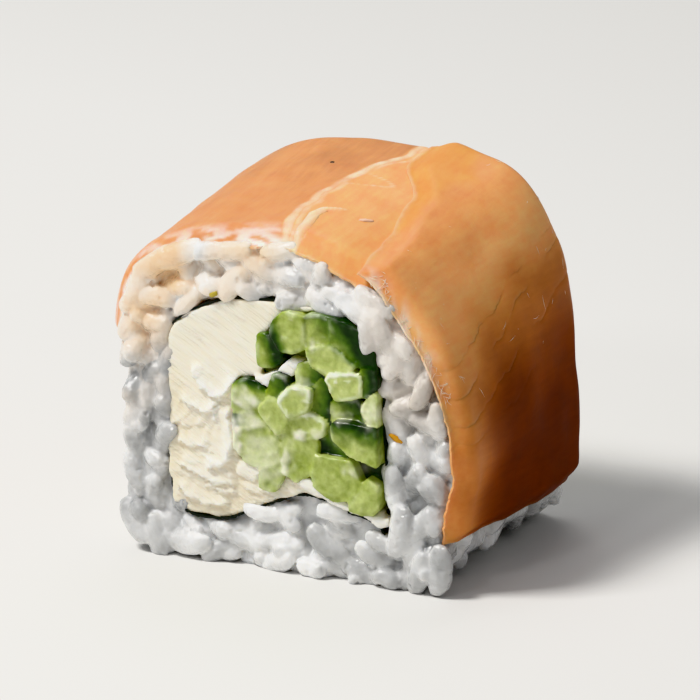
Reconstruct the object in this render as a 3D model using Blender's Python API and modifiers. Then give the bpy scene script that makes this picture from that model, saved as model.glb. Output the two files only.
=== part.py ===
"""A slice of california roll: rice round a sheet of nori, filled with cream cheese and cucumber,
with two thin slices of cured fish draped over its top.

Metres, +Z up. X runs across the cut face and Y along the roll. The face towards -Y is the front one.
The slice stands on its rice at Z = 0. Outlines are listed in millimetres, as (x, z) pairs that run
clockwise as the front face shows them.
"""
import math
import random

import bmesh
import bpy
from mathutils import Matrix, Vector, noise

MM = 0.001

# Driving dimensions, in metres
ROLL_LENGTH = 29.6 * MM       # between the two cut faces, without the grains that stand out of them
GAP = 0.3 * MM                # clearance between pieces that touch
NORI_THICKNESS = 0.4 * MM
LEFT_FISH_THICKNESS = 1.2 * MM
RIGHT_FISH_THICKNESS = 1.0 * MM
FISH_RIM_SHARE = 0.4          # thickness left at a slice's rim, as a share of the whole
FISH_RIM_WIDTH = 2.2 * MM     # over which a slice thins out towards its rim
FISH_WAVE = 0.22 * MM         # height of the slow waves in the fish
CUT_ROUNDING = 0.7 * MM       # how far the sides draw in at a cut
CUT_ROUNDING_WIDTH = 3.0 * MM
FILLING_RISE = 1.0 * MM       # the filling lies this much higher at the back than in front
GRAIN_HALF_SIZE = (1.35 * MM, 1.2 * MM, 3.0 * MM)
GRAIN_SCALES = (0.85, 1.1)    # the smallest grain and the largest
GRAIN_SIDES = 6
GRAIN_RINGS = 4
GRAIN_BLUNTNESS = 0.75        # below 1, the ends are rounder than an ellipsoid's
FACE_GRAIN_SPACING = 3.1 * MM
FACE_GRAIN_BAND = (0.16, 0.84)                # where their middles lie, from the nori to the rim
FACE_GRAIN_DEPTH = (0.25 * MM, 0.85 * MM)     # how far under the cut face their middles lie
FACE_GRAIN_TURN = 0.5         # spread round the ring's direction, in radians
FACE_GRAIN_TILT = 0.16        # most that a grain points out of the face or into it
SIDE_GRAIN_SPACING = 3.4 * MM
SIDE_GRAIN_DEPTH = (0.5 * MM, 0.9 * MM)
SIDE_GRAIN_REACH = 0.44       # how near the cuts they lie, as a share of the length
BOTTOM_GRAIN_SPACING = 4.8 * MM
BOTTOM_HEIGHTS = (0.1 * MM, 1.2 * MM)         # the flat middle of the bottom, lower, stays bare
RICE_STEPS = 64               # round the core's section
RICE_CUTS = (-0.5, -0.44, -0.3, -0.1, 0.1, 0.3, 0.44, 0.5)    # the core's sections along the roll
DRAWN_IN_ABOVE = 4.0 * MM     # the sides draw in at a cut only this far above the ground
FISH_GRID = (23, 9)           # steps of a slice round the roll and along it
FISH_SPAN = 35.0 * MM         # a slice's rough width round the roll
FISH_ROOM = 4.0 * MM          # depth of the room that is cleared of grains for it
FISH_ROOM_MARGIN = 0.12       # how much wider that room is, in points of the outline
FILLING_STEPS = 72            # round the filling's outline
CHEESE_GRID = 21
CORE_INSET = 0.25 * MM        # the sticks stand this far out of the cucumber's inner body
CORE_RECESS = 1.2 * MM        # and at the cuts this far

# Outer outline of the rice on the front face and on the back face, point for point, in millimetres
RICE_FRONT = (
    (-14.6, 0.5), (-18.3, 2.2), (-19.0, 7.0), (-19.1, 13.5), (-19.1, 20.5), (-18.8, 26.6), (-16.3, 30.8),
    (-11.3, 33.5), (-5.0, 34.6), (0.0, 35.0), (5.0, 33.5), (10.6, 30.2), (15.0, 26.2), (17.8, 20.0),
    (18.9, 14.0), (18.1, 8.5), (17.2, 3.5), (14.5, 0.6), (8.0, 0.0), (0.0, -0.4), (-8.0, 0.0),
)
RICE_BACK = (
    (-14.6, 0.5), (-18.0, 2.2), (-18.9, 7.0), (-19.0, 13.5), (-18.9, 20.9), (-18.4, 27.6), (-16.4, 32.4),
    (-11.7, 35.6), (-5.5, 36.9), (0.3, 37.0), (6.6, 36.4), (12.6, 34.3), (16.3, 30.2), (17.9, 23.6),
    (18.6, 15.6), (18.8, 9.0), (18.3, 3.8), (15.3, 0.6), (8.0, 0.0), (0.0, -0.4), (-8.0, 0.0),
)
# Middle line of the nori, from the bottom of the fold where its two ends meet
NORI_LOOP = (
    (11.1, 5.2), (10.3, 6.5), (8.6, 7.2), (6.2, 7.7), (3.4, 8.6), (1.2, 8.6), (-1.2, 7.6), (-4.6, 6.0),
    (-7.0, 4.9), (-10.5, 4.7), (-13.0, 5.8), (-13.8, 9.0), (-13.8, 15.0), (-13.9, 21.0), (-13.2, 25.0),
    (-8.0, 28.1), (-0.3, 28.9), (6.5, 28.4), (9.8, 26.6), (10.6, 23.1), (10.7, 19.1), (11.0, 12.9),
    (11.7, 7.1),
)
FOLD_POINTS = 2               # at each end of that line that belong to the fold
FOLD_CORNER = (10.7, 8.4)     # where the filling's corner lies instead
# The part of the section that the cucumber takes; its left side steps round the sticks
CUCUMBER_ZONE = (
    (13.0, 7.7), (9.4, 8.5), (6.2, 9.7), (3.0, 10.6), (-0.4, 10.2), (-3.6, 10.2), (-5.6, 12.0), (-5.6, 15.3),
    (-4.6, 16.7), (-6.6, 17.9), (-6.3, 20.9), (-3.4, 21.9), (-3.4, 25.5), (-2.2, 30.4), (13.0, 30.4),
)
# The cucumber sticks: x and z of the middle, width, height, turn in degrees, how far it stands out
STICKS = (
    (0.0, 26.2, 3.9, 4.1, 4, 0.5), (3.5, 27.0, 3.7, 3.7, -6, 0.2), (7.0, 26.1, 5.2, 5.4, 12, 0.4),
    (4.3, 24.0, 4.2, 3.3, -14, 0.6), (-1.9, 24.1, 2.4, 3.8, -12, 0.0), (7.4, 21.7, 5.8, 3.0, 3, 0.7),
    (7.0, 18.7, 3.6, 3.2, -4, 0.1), (9.6, 19.3, 2.2, 3.3, 8, 0.3), (7.9, 15.6, 5.9, 4.2, -10, 0.8),
    (0.7, 19.1, 3.4, 3.4, 36, 0.7), (-1.4, 20.9, 2.6, 3.2, 20, 0.1), (-2.0, 17.3, 3.6, 3.2, -38, 0.5),
    (-4.6, 19.1, 3.4, 3.0, -8, 0.3), (2.8, 21.7, 3.6, 2.8, 10, 0.2), (2.6, 16.1, 3.8, 2.8, -24, 0.3),
    (4.0, 18.7, 2.9, 4.3, 6, 0.0), (5.0, 14.1, 3.8, 3.2, -18, 0.1), (5.7, 11.7, 5.0, 3.7, -30, 0.6),
    (9.3, 10.4, 3.6, 3.9, -26, 0.4), (9.4, 12.9, 3.2, 3.0, -12, -0.2), (-2.9, 13.9, 5.0, 3.5, -16, 0.4),
    (-2.0, 11.2, 3.2, 2.4, -10, 0.1), (1.8, 12.7, 4.2, 3.8, -20, 0.2),
)
STICK_TILT = 3.0              # degrees that a stick may lie off the roll's line

# Where the slices of fish end round the section, counted in points of the rice outline,
# at even steps from the front to the back
LEFT_FISH_START = (4.2, 4.1, 3.9, 3.7, 3.8)
LEFT_FISH_END = (10.85, 10.7, 10.75, 10.95, 10.8)
RIGHT_FISH_START = (10.4, 10.28, 10.05, 9.45, 9.42)
RIGHT_FISH_END = (15.55, 15.6, 15.75, 15.85, 15.8)

# Colours, sRGB hex
COLOURS = {
    "rice": "DCDAD4",
    "nori": "17221A",
    "cream_cheese": "EFE9D5",
    "cucumber": "9CB25C",
    "fish_slice_left": "E5A472",
    "fish_slice_right": "CB8343",
}
ROUGHNESS = {
    "rice": 0.35, "nori": 0.6, "cream_cheese": 0.55, "cucumber": 0.3, "fish_slice_left": 0.35,
    "fish_slice_right": 0.3,
}


def smooth(share):
    """Ease from 0 to 1."""
    share = min(max(share, 0.0), 1.0)
    return share * share * (3.0 - 2.0 * share)


def spline(points, t):
    """The point at t on the closed curve through the points, t counted in points."""
    index = math.floor(t)
    f = t - index
    p0, p1, p2, p3 = (Vector(points[(index + k) % len(points)]) for k in (-1, 0, 1, 2))
    bend = 2.0 * p0 - 5.0 * p1 + 4.0 * p2 - p3
    twist = 3.0 * (p1 - p2) + p3 - p0
    return 0.5 * (2.0 * p1 + (p2 - p0) * f + bend * f ** 2 + twist * f ** 3)


def along(values, y):
    """The value at y of a row of values spread evenly from the front cut to the back cut."""
    steps = min(max(y / ROLL_LENGTH + 0.5, 0.0), 1.0) * (len(values) - 1)
    index = min(int(steps), len(values) - 2)
    share = smooth(steps - index)
    return values[index] * (1.0 - share) + values[index + 1] * share


def rice_outline(t, y):
    """The rice's outer outline at y, in metres: fuller at the back, drawn in at the cuts."""
    share = smooth(y / ROLL_LENGTH + 0.5)
    step = 0.02
    point, before, after = (
        spline(RICE_FRONT, at).lerp(spline(RICE_BACK, at), share) * MM for at in (t, t - step, t + step)
    )
    ahead = (after - before).normalized()
    outward = Vector((-ahead.y, ahead.x))
    to_cut = ROLL_LENGTH / 2 - abs(y)
    drawn_in = CUT_ROUNDING * (1.0 - smooth(to_cut / CUT_ROUNDING_WIDTH))
    if point.y > DRAWN_IN_ABOVE:
        point -= outward * drawn_in
    return point, outward


def on_roll(t, y, height):
    """A point at a height over the rice."""
    point, outward = rice_outline(t, y)
    point += outward * height
    return Vector((point.x, y, point.y))


def filling_rise(y):
    """How much higher the filling lies at y than at the front cut."""
    return FILLING_RISE * (y / ROLL_LENGTH + 0.5)


def even_loop(points, count, grow=0.0):
    """Evenly spaced points on the closed curve, moved outwards by grow, in metres."""
    fine = [spline(points, len(points) * i / (count * 8)) * MM for i in range(count * 8)]
    lengths = [0.0]
    for here, there in zip(fine, fine[1:] + fine[:1]):
        lengths.append(lengths[-1] + (there - here).length)
    loop = []
    index = 0
    for i in range(count):
        want = lengths[-1] * i / count
        while lengths[index + 1] < want:
            index += 1
        share = (want - lengths[index]) / (lengths[index + 1] - lengths[index])
        loop.append(fine[index].lerp(fine[(index + 1) % len(fine)], share))
    return grown(loop, grow)


def grown(loop, distance):
    """The loop with its sides moved outwards."""
    result = []
    for i, here in enumerate(loop):
        before = (here - loop[i - 1]).normalized()
        after = (loop[(i + 1) % len(loop)] - here).normalized()
        outward = Vector((-before.y - after.y, before.x + after.x)).normalized()
        reach = max(outward.dot(Vector((-before.y, before.x))), 0.5)
        result.append(here + outward * (distance / reach))
    return result


def new_object(name, mesh, collection):
    piece = bpy.data.objects.new(name, mesh)
    collection.objects.link(piece)
    return piece


def object_from(bm, name, collection):
    """Turn a bmesh into an object."""
    bmesh.ops.recalc_face_normals(bm, faces=bm.faces)
    mesh = bpy.data.meshes.new(name)
    bm.to_mesh(mesh)
    bm.free()
    return new_object(name, mesh, collection)


def loft(name, rings, collection):
    """A closed body through rings of as many points each, with a flat cap at both ends."""
    bm = bmesh.new()
    rows = [[bm.verts.new(point) for point in ring] for ring in rings]
    for row, following in zip(rows, rows[1:]):
        for i in range(len(row)):
            bm.faces.new((row[i - 1], row[i], following[i], following[i - 1]))
    bm.faces.new(rows[0])
    bm.faces.new(reversed(rows[-1]))
    return object_from(bm, name, collection)


def prism(name, loop, reach, collection):
    """A body with the loop as its section, along the filling, to the given reach each way."""
    rings = [[Vector((p.x, y, p.y + filling_rise(y))) for p in loop] for y in (-reach, reach)]
    return loft(name, rings, collection)


def surface(name, place, columns, rows, collection):
    """An open sheet: a grid whose points are set by place(u, v), with u and v from 0 to 1."""
    bm = bmesh.new()
    bmesh.ops.create_grid(bm, x_segments=columns, y_segments=rows, size=0.5)
    for vert in bm.verts:
        vert.co = place(vert.co.x + 0.5, vert.co.y + 0.5)
    mesh = bpy.data.meshes.new(name)
    bm.to_mesh(mesh)
    bm.free()
    return new_object(name, mesh, collection)


def boolean(piece, operation, cutter):
    """Put a live Boolean on the piece. The cutter is an object or a collection."""
    modifier = piece.modifiers.new(operation.title(), "BOOLEAN")
    modifier.operation = operation
    if isinstance(cutter, bpy.types.Collection):
        modifier.operand_type = "COLLECTION"
        modifier.collection = cutter
    else:
        modifier.object = cutter
        cutter.hide_render = True
        cutter.display_type = "WIRE"


def apply_modifiers(piece):
    """Keep the evaluated mesh and drop the modifiers."""
    depsgraph = bpy.context.evaluated_depsgraph_get()
    mesh = bpy.data.meshes.new_from_object(piece.evaluated_get(depsgraph))
    piece.modifiers.clear()
    piece.data = mesh


def remove_collection(collection):
    for piece in list(collection.objects):
        bpy.data.objects.remove(piece)
    bpy.data.collections.remove(collection)


def child_collection(name, parent):
    collection = bpy.data.collections.new(name)
    parent.children.link(collection)
    return collection


def linear(hex_colour):
    """sRGB hex to linear RGBA."""
    channels = [int(hex_colour[i:i + 2], 16) / 255 for i in (0, 2, 4)]
    return [c / 12.92 if c <= 0.04045 else ((c + 0.055) / 1.055) ** 2.4 for c in channels] + [1.0]


def give_material(piece):
    material = bpy.data.materials.new(piece.name)
    material.use_nodes = True
    shader = material.node_tree.nodes["Principled BSDF"]
    shader.inputs["Base Color"].default_value = linear(COLOURS[piece.name])
    shader.inputs["Roughness"].default_value = ROUGHNESS[piece.name]
    shader.inputs["Metallic"].default_value = 0.0
    piece.data.materials.clear()
    piece.data.materials.append(material)


def add_grain(name, place, long_axis, face, scale, collection):
    """A grain with few sides, long along long_axis, its flatter side towards face."""
    long_axis = long_axis.normalized()
    side_axis = face.cross(long_axis).normalized()
    turn = Matrix((side_axis, long_axis.cross(side_axis), long_axis)).transposed()
    width, depth, length = Vector(GRAIN_HALF_SIZE) * scale
    bm = bmesh.new()
    bmesh.ops.create_uvsphere(bm, u_segments=GRAIN_SIDES, v_segments=GRAIN_RINGS, radius=1.0)
    for vert in bm.verts:
        x, y = vert.co.xy * max(vert.co.xy.length, 1e-6) ** (GRAIN_BLUNTNESS - 1.0)
        z = math.copysign(abs(vert.co.z) ** GRAIN_BLUNTNESS, vert.co.z)
        vert.co = place + turn @ Vector((x * width, y * depth, z * length))
    return object_from(bm, name, collection)


def nearest(loop, point):
    return min(loop, key=lambda other: (other - point).length)


def spread(candidates, spacing):
    """Those candidates that lie a spacing apart from all that were kept before."""
    kept = []
    for candidate in candidates:
        if all((candidate[0] - other[0]).length > spacing for other in kept):
            kept.append(candidate)
    return kept


def rice_hole(steps):
    """The rice's inner outline, clear of the nori."""
    return even_loop(NORI_LOOP, steps, NORI_THICKNESS / 2 + GAP)


def face_grains(draw, side, collection):
    """Grains on one cut face, lying mostly along the ring. side is -1 in front and 1 behind."""
    outline = RICE_FRONT if side < 0 else RICE_BACK
    lift = Vector((0.0, filling_rise(side * ROLL_LENGTH / 2)))
    hole = [point + lift for point in rice_hole(120)]
    candidates = []
    for outer in even_loop(outline, 240) * 6:
        inner = nearest(hole, outer)
        middle = inner.lerp(outer, draw.uniform(*FACE_GRAIN_BAND))
        ring = Vector((inner.y - outer.y, outer.x - inner.x)).normalized()
        candidates.append((middle, ring))
    draw.shuffle(candidates)
    for i, (middle, ring) in enumerate(spread(candidates, FACE_GRAIN_SPACING)):
        ring.rotate(Matrix.Rotation(draw.gauss(0.0, FACE_GRAIN_TURN), 2))
        depth = ROLL_LENGTH / 2 - draw.uniform(*FACE_GRAIN_DEPTH)
        long_axis = Vector((ring.x, draw.uniform(-FACE_GRAIN_TILT, FACE_GRAIN_TILT), ring.y))
        add_grain(f"face_{side}_{i}", Vector((middle.x, side * depth, middle.y)), long_axis,
                  Vector((0.0, side, 0.0)), draw.uniform(*GRAIN_SCALES), collection)


def side_grains(draw, collection):
    """Grains on the bare sides and, fewer, on the bottom, between the lower ends of the fish."""
    margin = 0.25
    start, end = RIGHT_FISH_END[0] + margin, LEFT_FISH_START[0] + len(RICE_FRONT) - margin
    tries = 2500
    candidates = []
    for _ in range(tries):
        t = draw.uniform(start, end)
        y = draw.uniform(-SIDE_GRAIN_REACH, SIDE_GRAIN_REACH) * ROLL_LENGTH
        candidates.append((on_roll(t, y, 0.0), t, y))
    low, high = BOTTOM_HEIGHTS
    bottom = [c for c in candidates if low < c[0].z < high]
    sides = [c for c in candidates if c[0].z >= high]
    kept = spread(sides, SIDE_GRAIN_SPACING) + spread(bottom, BOTTOM_GRAIN_SPACING)
    for i, (point, t, y) in enumerate(kept):
        outward = rice_outline(t, y)[1]
        face = Vector((outward.x, 0.0, outward.y))
        long_axis = face.cross(Vector((0.0, 1.0, 0.0)))
        long_axis.rotate(Matrix.Rotation(draw.uniform(0.0, math.pi), 3, face))
        place = point - face * draw.uniform(*SIDE_GRAIN_DEPTH)
        add_grain(f"side_{i}", place, long_axis, face, draw.uniform(*GRAIN_SCALES), collection)


def fish_wave(t, y):
    """Slow waves, the same in both slices so that they stay clear of each other."""
    return FISH_WAVE * (1.0 + noise.noise(Vector((t * 0.9, y / (7.0 * MM), 3.0))))


def fish_rim(t, side, seed):
    """Where a slice's cut rim lies along the roll."""
    uneven = 0.6 * MM * noise.noise(Vector((t * 1.7, seed, 0.0)))
    return side * (ROLL_LENGTH / 2 - 0.1 * MM) + uneven


def fish_slice(name, start, end, lift, thickness, seed, collection):
    """A thin slice over the rice, from start to end round the section, thinner towards its rim."""
    columns, rows = FISH_GRID

    def place(u, v):
        t = along(start, 0.0) * (1.0 - u) + along(end, 0.0) * u
        y = fish_rim(t, -1, seed) * (1.0 - v) + fish_rim(t, 1, seed) * v
        t = along(start, y) * (1.0 - u) + along(end, y) * u
        return on_roll(t, y, GAP + lift(t, y) + fish_wave(t, y))

    piece = surface(name, place, columns, rows, collection)
    group = piece.vertex_groups.new(name="thickness")
    step = (ROLL_LENGTH / rows, FISH_SPAN / columns)
    for vert in piece.data.vertices:
        column, row = vert.index % (columns + 1), vert.index // (columns + 1)
        to_rim = min(min(row, rows - row) * step[0], min(column, columns - column) * step[1])
        group.add([vert.index], smooth(to_rim / FISH_RIM_WIDTH), "REPLACE")
    shell = piece.modifiers.new("Thickness", "SOLIDIFY")
    shell.thickness = thickness
    shell.offset = 1.0
    shell.use_even_offset = True
    shell.vertex_group = group.name
    shell.thickness_vertex_group = FISH_RIM_SHARE
    return piece


def over_left_slice(t, y):
    """How far the right slice rides up where the left one lies under it."""
    under = along(LEFT_FISH_END, y)
    return (LEFT_FISH_THICKNESS + GAP) * (1.0 - smooth((t - under + 0.3) / 0.9))


def fish_clearance(name, start, end, collection):
    """The room that a slice of fish needs, taken out of the rice's grains."""
    over_both_cuts = 2.4 * MM

    def place(u, v):
        y = (v - 0.5) * (ROLL_LENGTH + over_both_cuts)
        first = along(start, y) - FISH_ROOM_MARGIN
        last = along(end, y) + FISH_ROOM_MARGIN
        return on_roll(first * (1.0 - u) + last * u, y, FISH_WAVE * 0.2)

    piece = surface(name, place, *FISH_GRID, collection)
    shell = piece.modifiers.new("Room", "SOLIDIFY")
    shell.thickness = FISH_ROOM
    shell.offset = 1.0
    return piece


def add_rice(parts, cutters):
    """The ring of rice: a plain core with grains fused on wherever it is bare."""
    cuts = [ROLL_LENGTH * share for share in RICE_CUTS]
    turns = [len(RICE_FRONT) * i / RICE_STEPS for i in range(RICE_STEPS)]
    rice = loft("rice", [[on_roll(t, y, 0.0) for t in turns] for y in cuts], parts)
    grains = child_collection("grains", parts)
    draw = random.Random(11)
    face_grains(draw, -1, grains)
    face_grains(draw, 1, grains)
    side_grains(draw, grains)
    boolean(rice, "UNION", grains)
    apply_modifiers(rice)
    remove_collection(grains)
    boolean(rice, "DIFFERENCE", prism("rice_hole", rice_hole(90), ROLL_LENGTH, cutters))
    boolean(rice, "DIFFERENCE", fish_clearance("left_fish_room", LEFT_FISH_START, LEFT_FISH_END, cutters))
    boolean(rice, "DIFFERENCE", fish_clearance("right_fish_room", RIGHT_FISH_START, RIGHT_FISH_END, cutters))
    boolean(rice, "DIFFERENCE", add_ground(cutters))
    return rice


def add_ground(cutters):
    """Everything below Z = 0, where the grains are pressed flat."""
    width, depth = 80.0 * MM, 20.0 * MM
    place = Matrix.Translation((0.0, 0.0, -depth / 2)) @ Matrix.Diagonal((width, width, depth, 1.0))
    bm = bmesh.new()
    bmesh.ops.create_cube(bm, size=1.0, matrix=place)
    return object_from(bm, "ground", cutters)


def add_nori(parts):
    """The sheet round the filling, whose two ends meet in a small fold at its lower right."""
    ends = 0.12       # left open at the fold, in points of the line
    recess = 0.4 * MM

    def place(u, v):
        p = spline(NORI_LOOP, ends + (len(NORI_LOOP) - 2 * ends) * u) * MM
        uneven = 0.3 * MM * noise.noise(Vector((u * 23.0, v * 9.0, 5.0)))
        y = (v - 0.5) * (ROLL_LENGTH - recess) + uneven
        return Vector((p.x, y, p.y + filling_rise(y)))

    nori = surface("nori", place, FILLING_STEPS, 2, parts)
    shell = nori.modifiers.new("Thickness", "SOLIDIFY")
    shell.thickness = NORI_THICKNESS
    shell.offset = 0.0
    return nori


def filling_loop():
    """The filling's outline, clear of the nori."""
    points = (FOLD_CORNER,) + NORI_LOOP[FOLD_POINTS:-FOLD_POINTS + 1]
    return even_loop(points, FILLING_STEPS, -NORI_THICKNESS / 2 - GAP)


def zone_loop(grow):
    """The outline of the cucumber's zone, moved outwards by grow."""
    return grown([Vector(point) * MM for point in CUCUMBER_ZONE], grow)


def cheese_relief(x, z):
    """Smears that the knife left, running down to the right."""
    smear_spacing = 3.0 * MM
    smear_height = 0.35 * MM
    lump_height = 0.3 * MM
    across = x * 0.55 + z * 0.84
    slow = noise.noise(Vector((x / (9.0 * MM), z / (7.0 * MM), 1.0)))
    smears = math.sin(math.tau * across / smear_spacing + 3.0 * slow) * (0.5 + slow)
    return smear_height * smears + lump_height * slow


def add_cream_cheese(parts, cutters):
    """The block that fills the left half, with a thin layer on under the cucumber."""
    low, high = Vector((-14.5, 4.2)) * MM, Vector((11.5, 30.6)) * MM
    bm = bmesh.new()
    for side in (-1, 1):
        grid = bmesh.ops.create_grid(bm, x_segments=CHEESE_GRID, y_segments=CHEESE_GRID, size=0.5)
        for vert in grid["verts"]:
            x = low.x + (vert.co.x + 0.5) * (high.x - low.x)
            z = low.y + (vert.co.y + 0.5) * (high.y - low.y)
            vert.co = (x, side * (ROLL_LENGTH / 2 + cheese_relief(x, z)), z)
    rims = [edge for edge in bm.edges if edge.is_boundary]
    bmesh.ops.bridge_loops(bm, edges=rims)
    cheese = object_from(bm, "cream_cheese", parts)
    boolean(cheese, "INTERSECT", prism("filling_outline", filling_loop(), ROLL_LENGTH, cutters))
    boolean(cheese, "DIFFERENCE", prism("cucumber_room", zone_loop(GAP), ROLL_LENGTH, cutters))
    return cheese


def add_stick(index, stick, draw, collection):
    """One stick of cucumber along the roll."""
    x, z, width, height, turn, out = stick
    length = ROLL_LENGTH + out * MM * 2.0
    place = Vector((x * MM, 0.0, z * MM + filling_rise(0.0)))
    lie = Matrix.Rotation(math.radians(draw.uniform(-STICK_TILT, STICK_TILT)), 4, "Z")
    pitch = Matrix.Rotation(math.atan(FILLING_RISE / ROLL_LENGTH), 4, "X")
    roll = Matrix.Rotation(math.radians(-turn), 4, "Y")
    size = Matrix.Diagonal((width * MM, length, height * MM, 1.0))
    bm = bmesh.new()
    bmesh.ops.create_cube(bm, size=1.0, matrix=Matrix.Translation(place) @ lie @ pitch @ roll @ size)
    return object_from(bm, f"stick_{index}", collection)


def add_cucumber(parts, cutters):
    """The bundle of sticks that fills the right half, pressed into one body."""
    cucumber = prism("cucumber", zone_loop(-CORE_INSET), ROLL_LENGTH / 2 - CORE_RECESS, parts)
    sticks = child_collection("sticks", parts)
    draw = random.Random(5)
    for index, stick in enumerate(STICKS):
        add_stick(index, stick, draw, sticks)
    boolean(cucumber, "UNION", sticks)
    apply_modifiers(cucumber)
    remove_collection(sticks)
    boolean(cucumber, "INTERSECT", prism("cucumber_zone", zone_loop(0.0), ROLL_LENGTH, cutters))
    boolean(cucumber, "INTERSECT", prism("cucumber_outline", filling_loop(), ROLL_LENGTH, cutters))
    return cucumber


def main():
    for piece in list(bpy.data.objects):
        bpy.data.objects.remove(piece)
    parts = child_collection("california_roll", bpy.context.scene.collection)
    cutters = child_collection("cutters", bpy.context.scene.collection)
    add_rice(parts, cutters)
    add_nori(parts)
    add_cream_cheese(parts, cutters)
    add_cucumber(parts, cutters)
    fish_slice("fish_slice_left", LEFT_FISH_START, LEFT_FISH_END, lambda t, y: 0.0,
               LEFT_FISH_THICKNESS, 2.0, parts)
    fish_slice("fish_slice_right", RIGHT_FISH_START, RIGHT_FISH_END, over_left_slice,
               RIGHT_FISH_THICKNESS, 7.0, parts)
    for piece in parts.objects:
        give_material(piece)


main()
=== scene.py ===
"""California roll slice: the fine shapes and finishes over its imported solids, with a plain stage.

Metres, +Z up. X runs across the cut face and Y along the roll, with the front cut face towards -Y.
The file is laid out as an add-on and run as a script: main() calls the operators in order.
"""

import math
import random

import bpy
import numpy as np
from bpy.props import FloatProperty, FloatVectorProperty, IntProperty, PointerProperty
from mathutils import Matrix, Vector, noise


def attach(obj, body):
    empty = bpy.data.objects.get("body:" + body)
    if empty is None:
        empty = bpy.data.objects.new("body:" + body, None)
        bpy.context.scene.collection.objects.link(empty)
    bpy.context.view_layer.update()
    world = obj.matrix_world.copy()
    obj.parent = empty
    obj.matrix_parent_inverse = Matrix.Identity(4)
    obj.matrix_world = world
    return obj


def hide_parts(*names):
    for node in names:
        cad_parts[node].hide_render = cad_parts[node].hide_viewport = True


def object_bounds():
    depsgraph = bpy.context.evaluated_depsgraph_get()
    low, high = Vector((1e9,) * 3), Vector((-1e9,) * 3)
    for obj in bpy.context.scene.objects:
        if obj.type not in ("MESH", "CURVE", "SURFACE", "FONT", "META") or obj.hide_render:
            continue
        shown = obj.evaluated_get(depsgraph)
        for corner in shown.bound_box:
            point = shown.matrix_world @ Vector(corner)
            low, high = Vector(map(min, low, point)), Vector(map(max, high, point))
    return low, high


bl_info = {
    "name": "California Roll Slice",
    "version": (1, 0, 0),
    "blender": (4, 5, 0),
    "location": "3D View > Sidebar > Roll",
    "description": "Rice, nori, cream cheese, cucumber and cured fish of one slice of an inside-out roll",
    "category": "Object",
}

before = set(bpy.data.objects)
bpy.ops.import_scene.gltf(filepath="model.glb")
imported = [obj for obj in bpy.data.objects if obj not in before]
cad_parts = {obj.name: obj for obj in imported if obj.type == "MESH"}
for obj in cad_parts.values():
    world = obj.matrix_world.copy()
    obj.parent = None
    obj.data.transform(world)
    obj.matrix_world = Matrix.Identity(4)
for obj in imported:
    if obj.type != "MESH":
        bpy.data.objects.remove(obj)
CAD_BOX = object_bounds()
MM = 0.001

# ---- The slice's own lines, as its solids have them ------------------------------------------------

ROLL_LENGTH = 29.6 * MM
GAP = 0.3 * MM
CUT_ROUNDING = 0.7 * MM
CUT_ROUNDING_WIDTH = 3.0 * MM
DRAWN_IN_ABOVE = 4.0 * MM
FILLING_RISE = 1.0 * MM
FISH_WAVE = 0.16 * MM
LEFT_FISH_THICKNESS = 1.2 * MM
RIGHT_FISH_THICKNESS = 1.0 * MM

# The view from which the cut's outlines are taken: degrees round from the front, and degrees above the floor
VIEW_AZIMUTH = 26.0
VIEW_ELEVATION = 18.0

# Outer outline of the rice on the front face and on the back face, in millimetres, clockwise from the front
RICE_FRONT = (
    (-14.6, 0.5), (-18.3, 2.2), (-19.0, 7.0), (-19.1, 13.5), (-19.1, 20.5), (-18.8, 26.6), (-16.3, 30.8),
    (-11.3, 33.5), (-5.0, 34.6), (0.0, 35.0), (5.0, 33.5), (10.6, 30.2), (15.0, 26.2), (17.8, 20.0),
    (18.9, 14.0), (18.1, 8.5), (17.2, 3.5), (14.5, 0.6), (8.0, 0.0), (0.0, -0.4), (-8.0, 0.0),
)
RICE_BACK = (
    (-14.6, 0.5), (-18.0, 2.2), (-18.9, 7.0), (-19.0, 13.5), (-18.9, 20.9), (-18.4, 27.6), (-16.4, 32.4),
    (-11.7, 35.6), (-5.5, 36.9), (0.3, 37.0), (6.6, 36.4), (12.6, 34.3), (16.3, 30.2), (17.9, 23.6),
    (18.6, 15.6), (18.8, 9.0), (18.3, 3.8), (15.3, 0.6), (8.0, 0.0), (0.0, -0.4), (-8.0, 0.0),
)
# How far apart those points lie, roughly, in millimetres
POINT_SPACING = 5.6
# Middle line of the nori, from the bottom of the fold where its two ends meet
NORI_LOOP = (
    (11.1, 5.2), (10.3, 6.5), (8.6, 7.2), (6.2, 7.7), (3.4, 8.6), (1.2, 8.6), (-1.2, 7.6), (-4.6, 6.0),
    (-7.0, 4.9), (-10.5, 4.7), (-13.0, 5.8), (-13.8, 9.0), (-13.8, 15.0), (-13.9, 21.0), (-13.2, 25.0),
    (-8.0, 28.1), (-0.3, 28.9), (6.5, 28.4), (9.8, 26.6), (10.6, 23.1), (10.7, 19.1), (11.0, 12.9),
    (11.7, 7.1),
)
FOLD_POINTS = 2
FOLD_CORNER = (10.7, 8.4)
LOOP_POINTS = 120       # how many points an outline gets when it is drawn out evenly
CUCUMBER_ZONE = (
    (13.0, 7.7), (9.4, 8.5), (6.2, 9.7), (3.0, 10.6), (-0.4, 10.2), (-3.6, 10.2), (-5.6, 12.0), (-5.6, 15.3),
    (-4.6, 16.7), (-6.6, 17.9), (-6.3, 20.9), (-3.4, 21.9), (-3.4, 25.5), (-2.2, 30.4), (13.0, 30.4),
)
# Where the slices of fish end round the section, counted in points of the rice outline, from front to back
LEFT_FISH_START = (4.2, 4.1, 3.9, 3.7, 3.8)
LEFT_FISH_END = (10.85, 10.7, 10.75, 10.95, 10.8)
RIGHT_FISH_START = (10.4, 10.28, 10.05, 9.45, 9.42)
RIGHT_FISH_END = (15.55, 15.6, 15.75, 15.85, 15.8)

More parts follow.
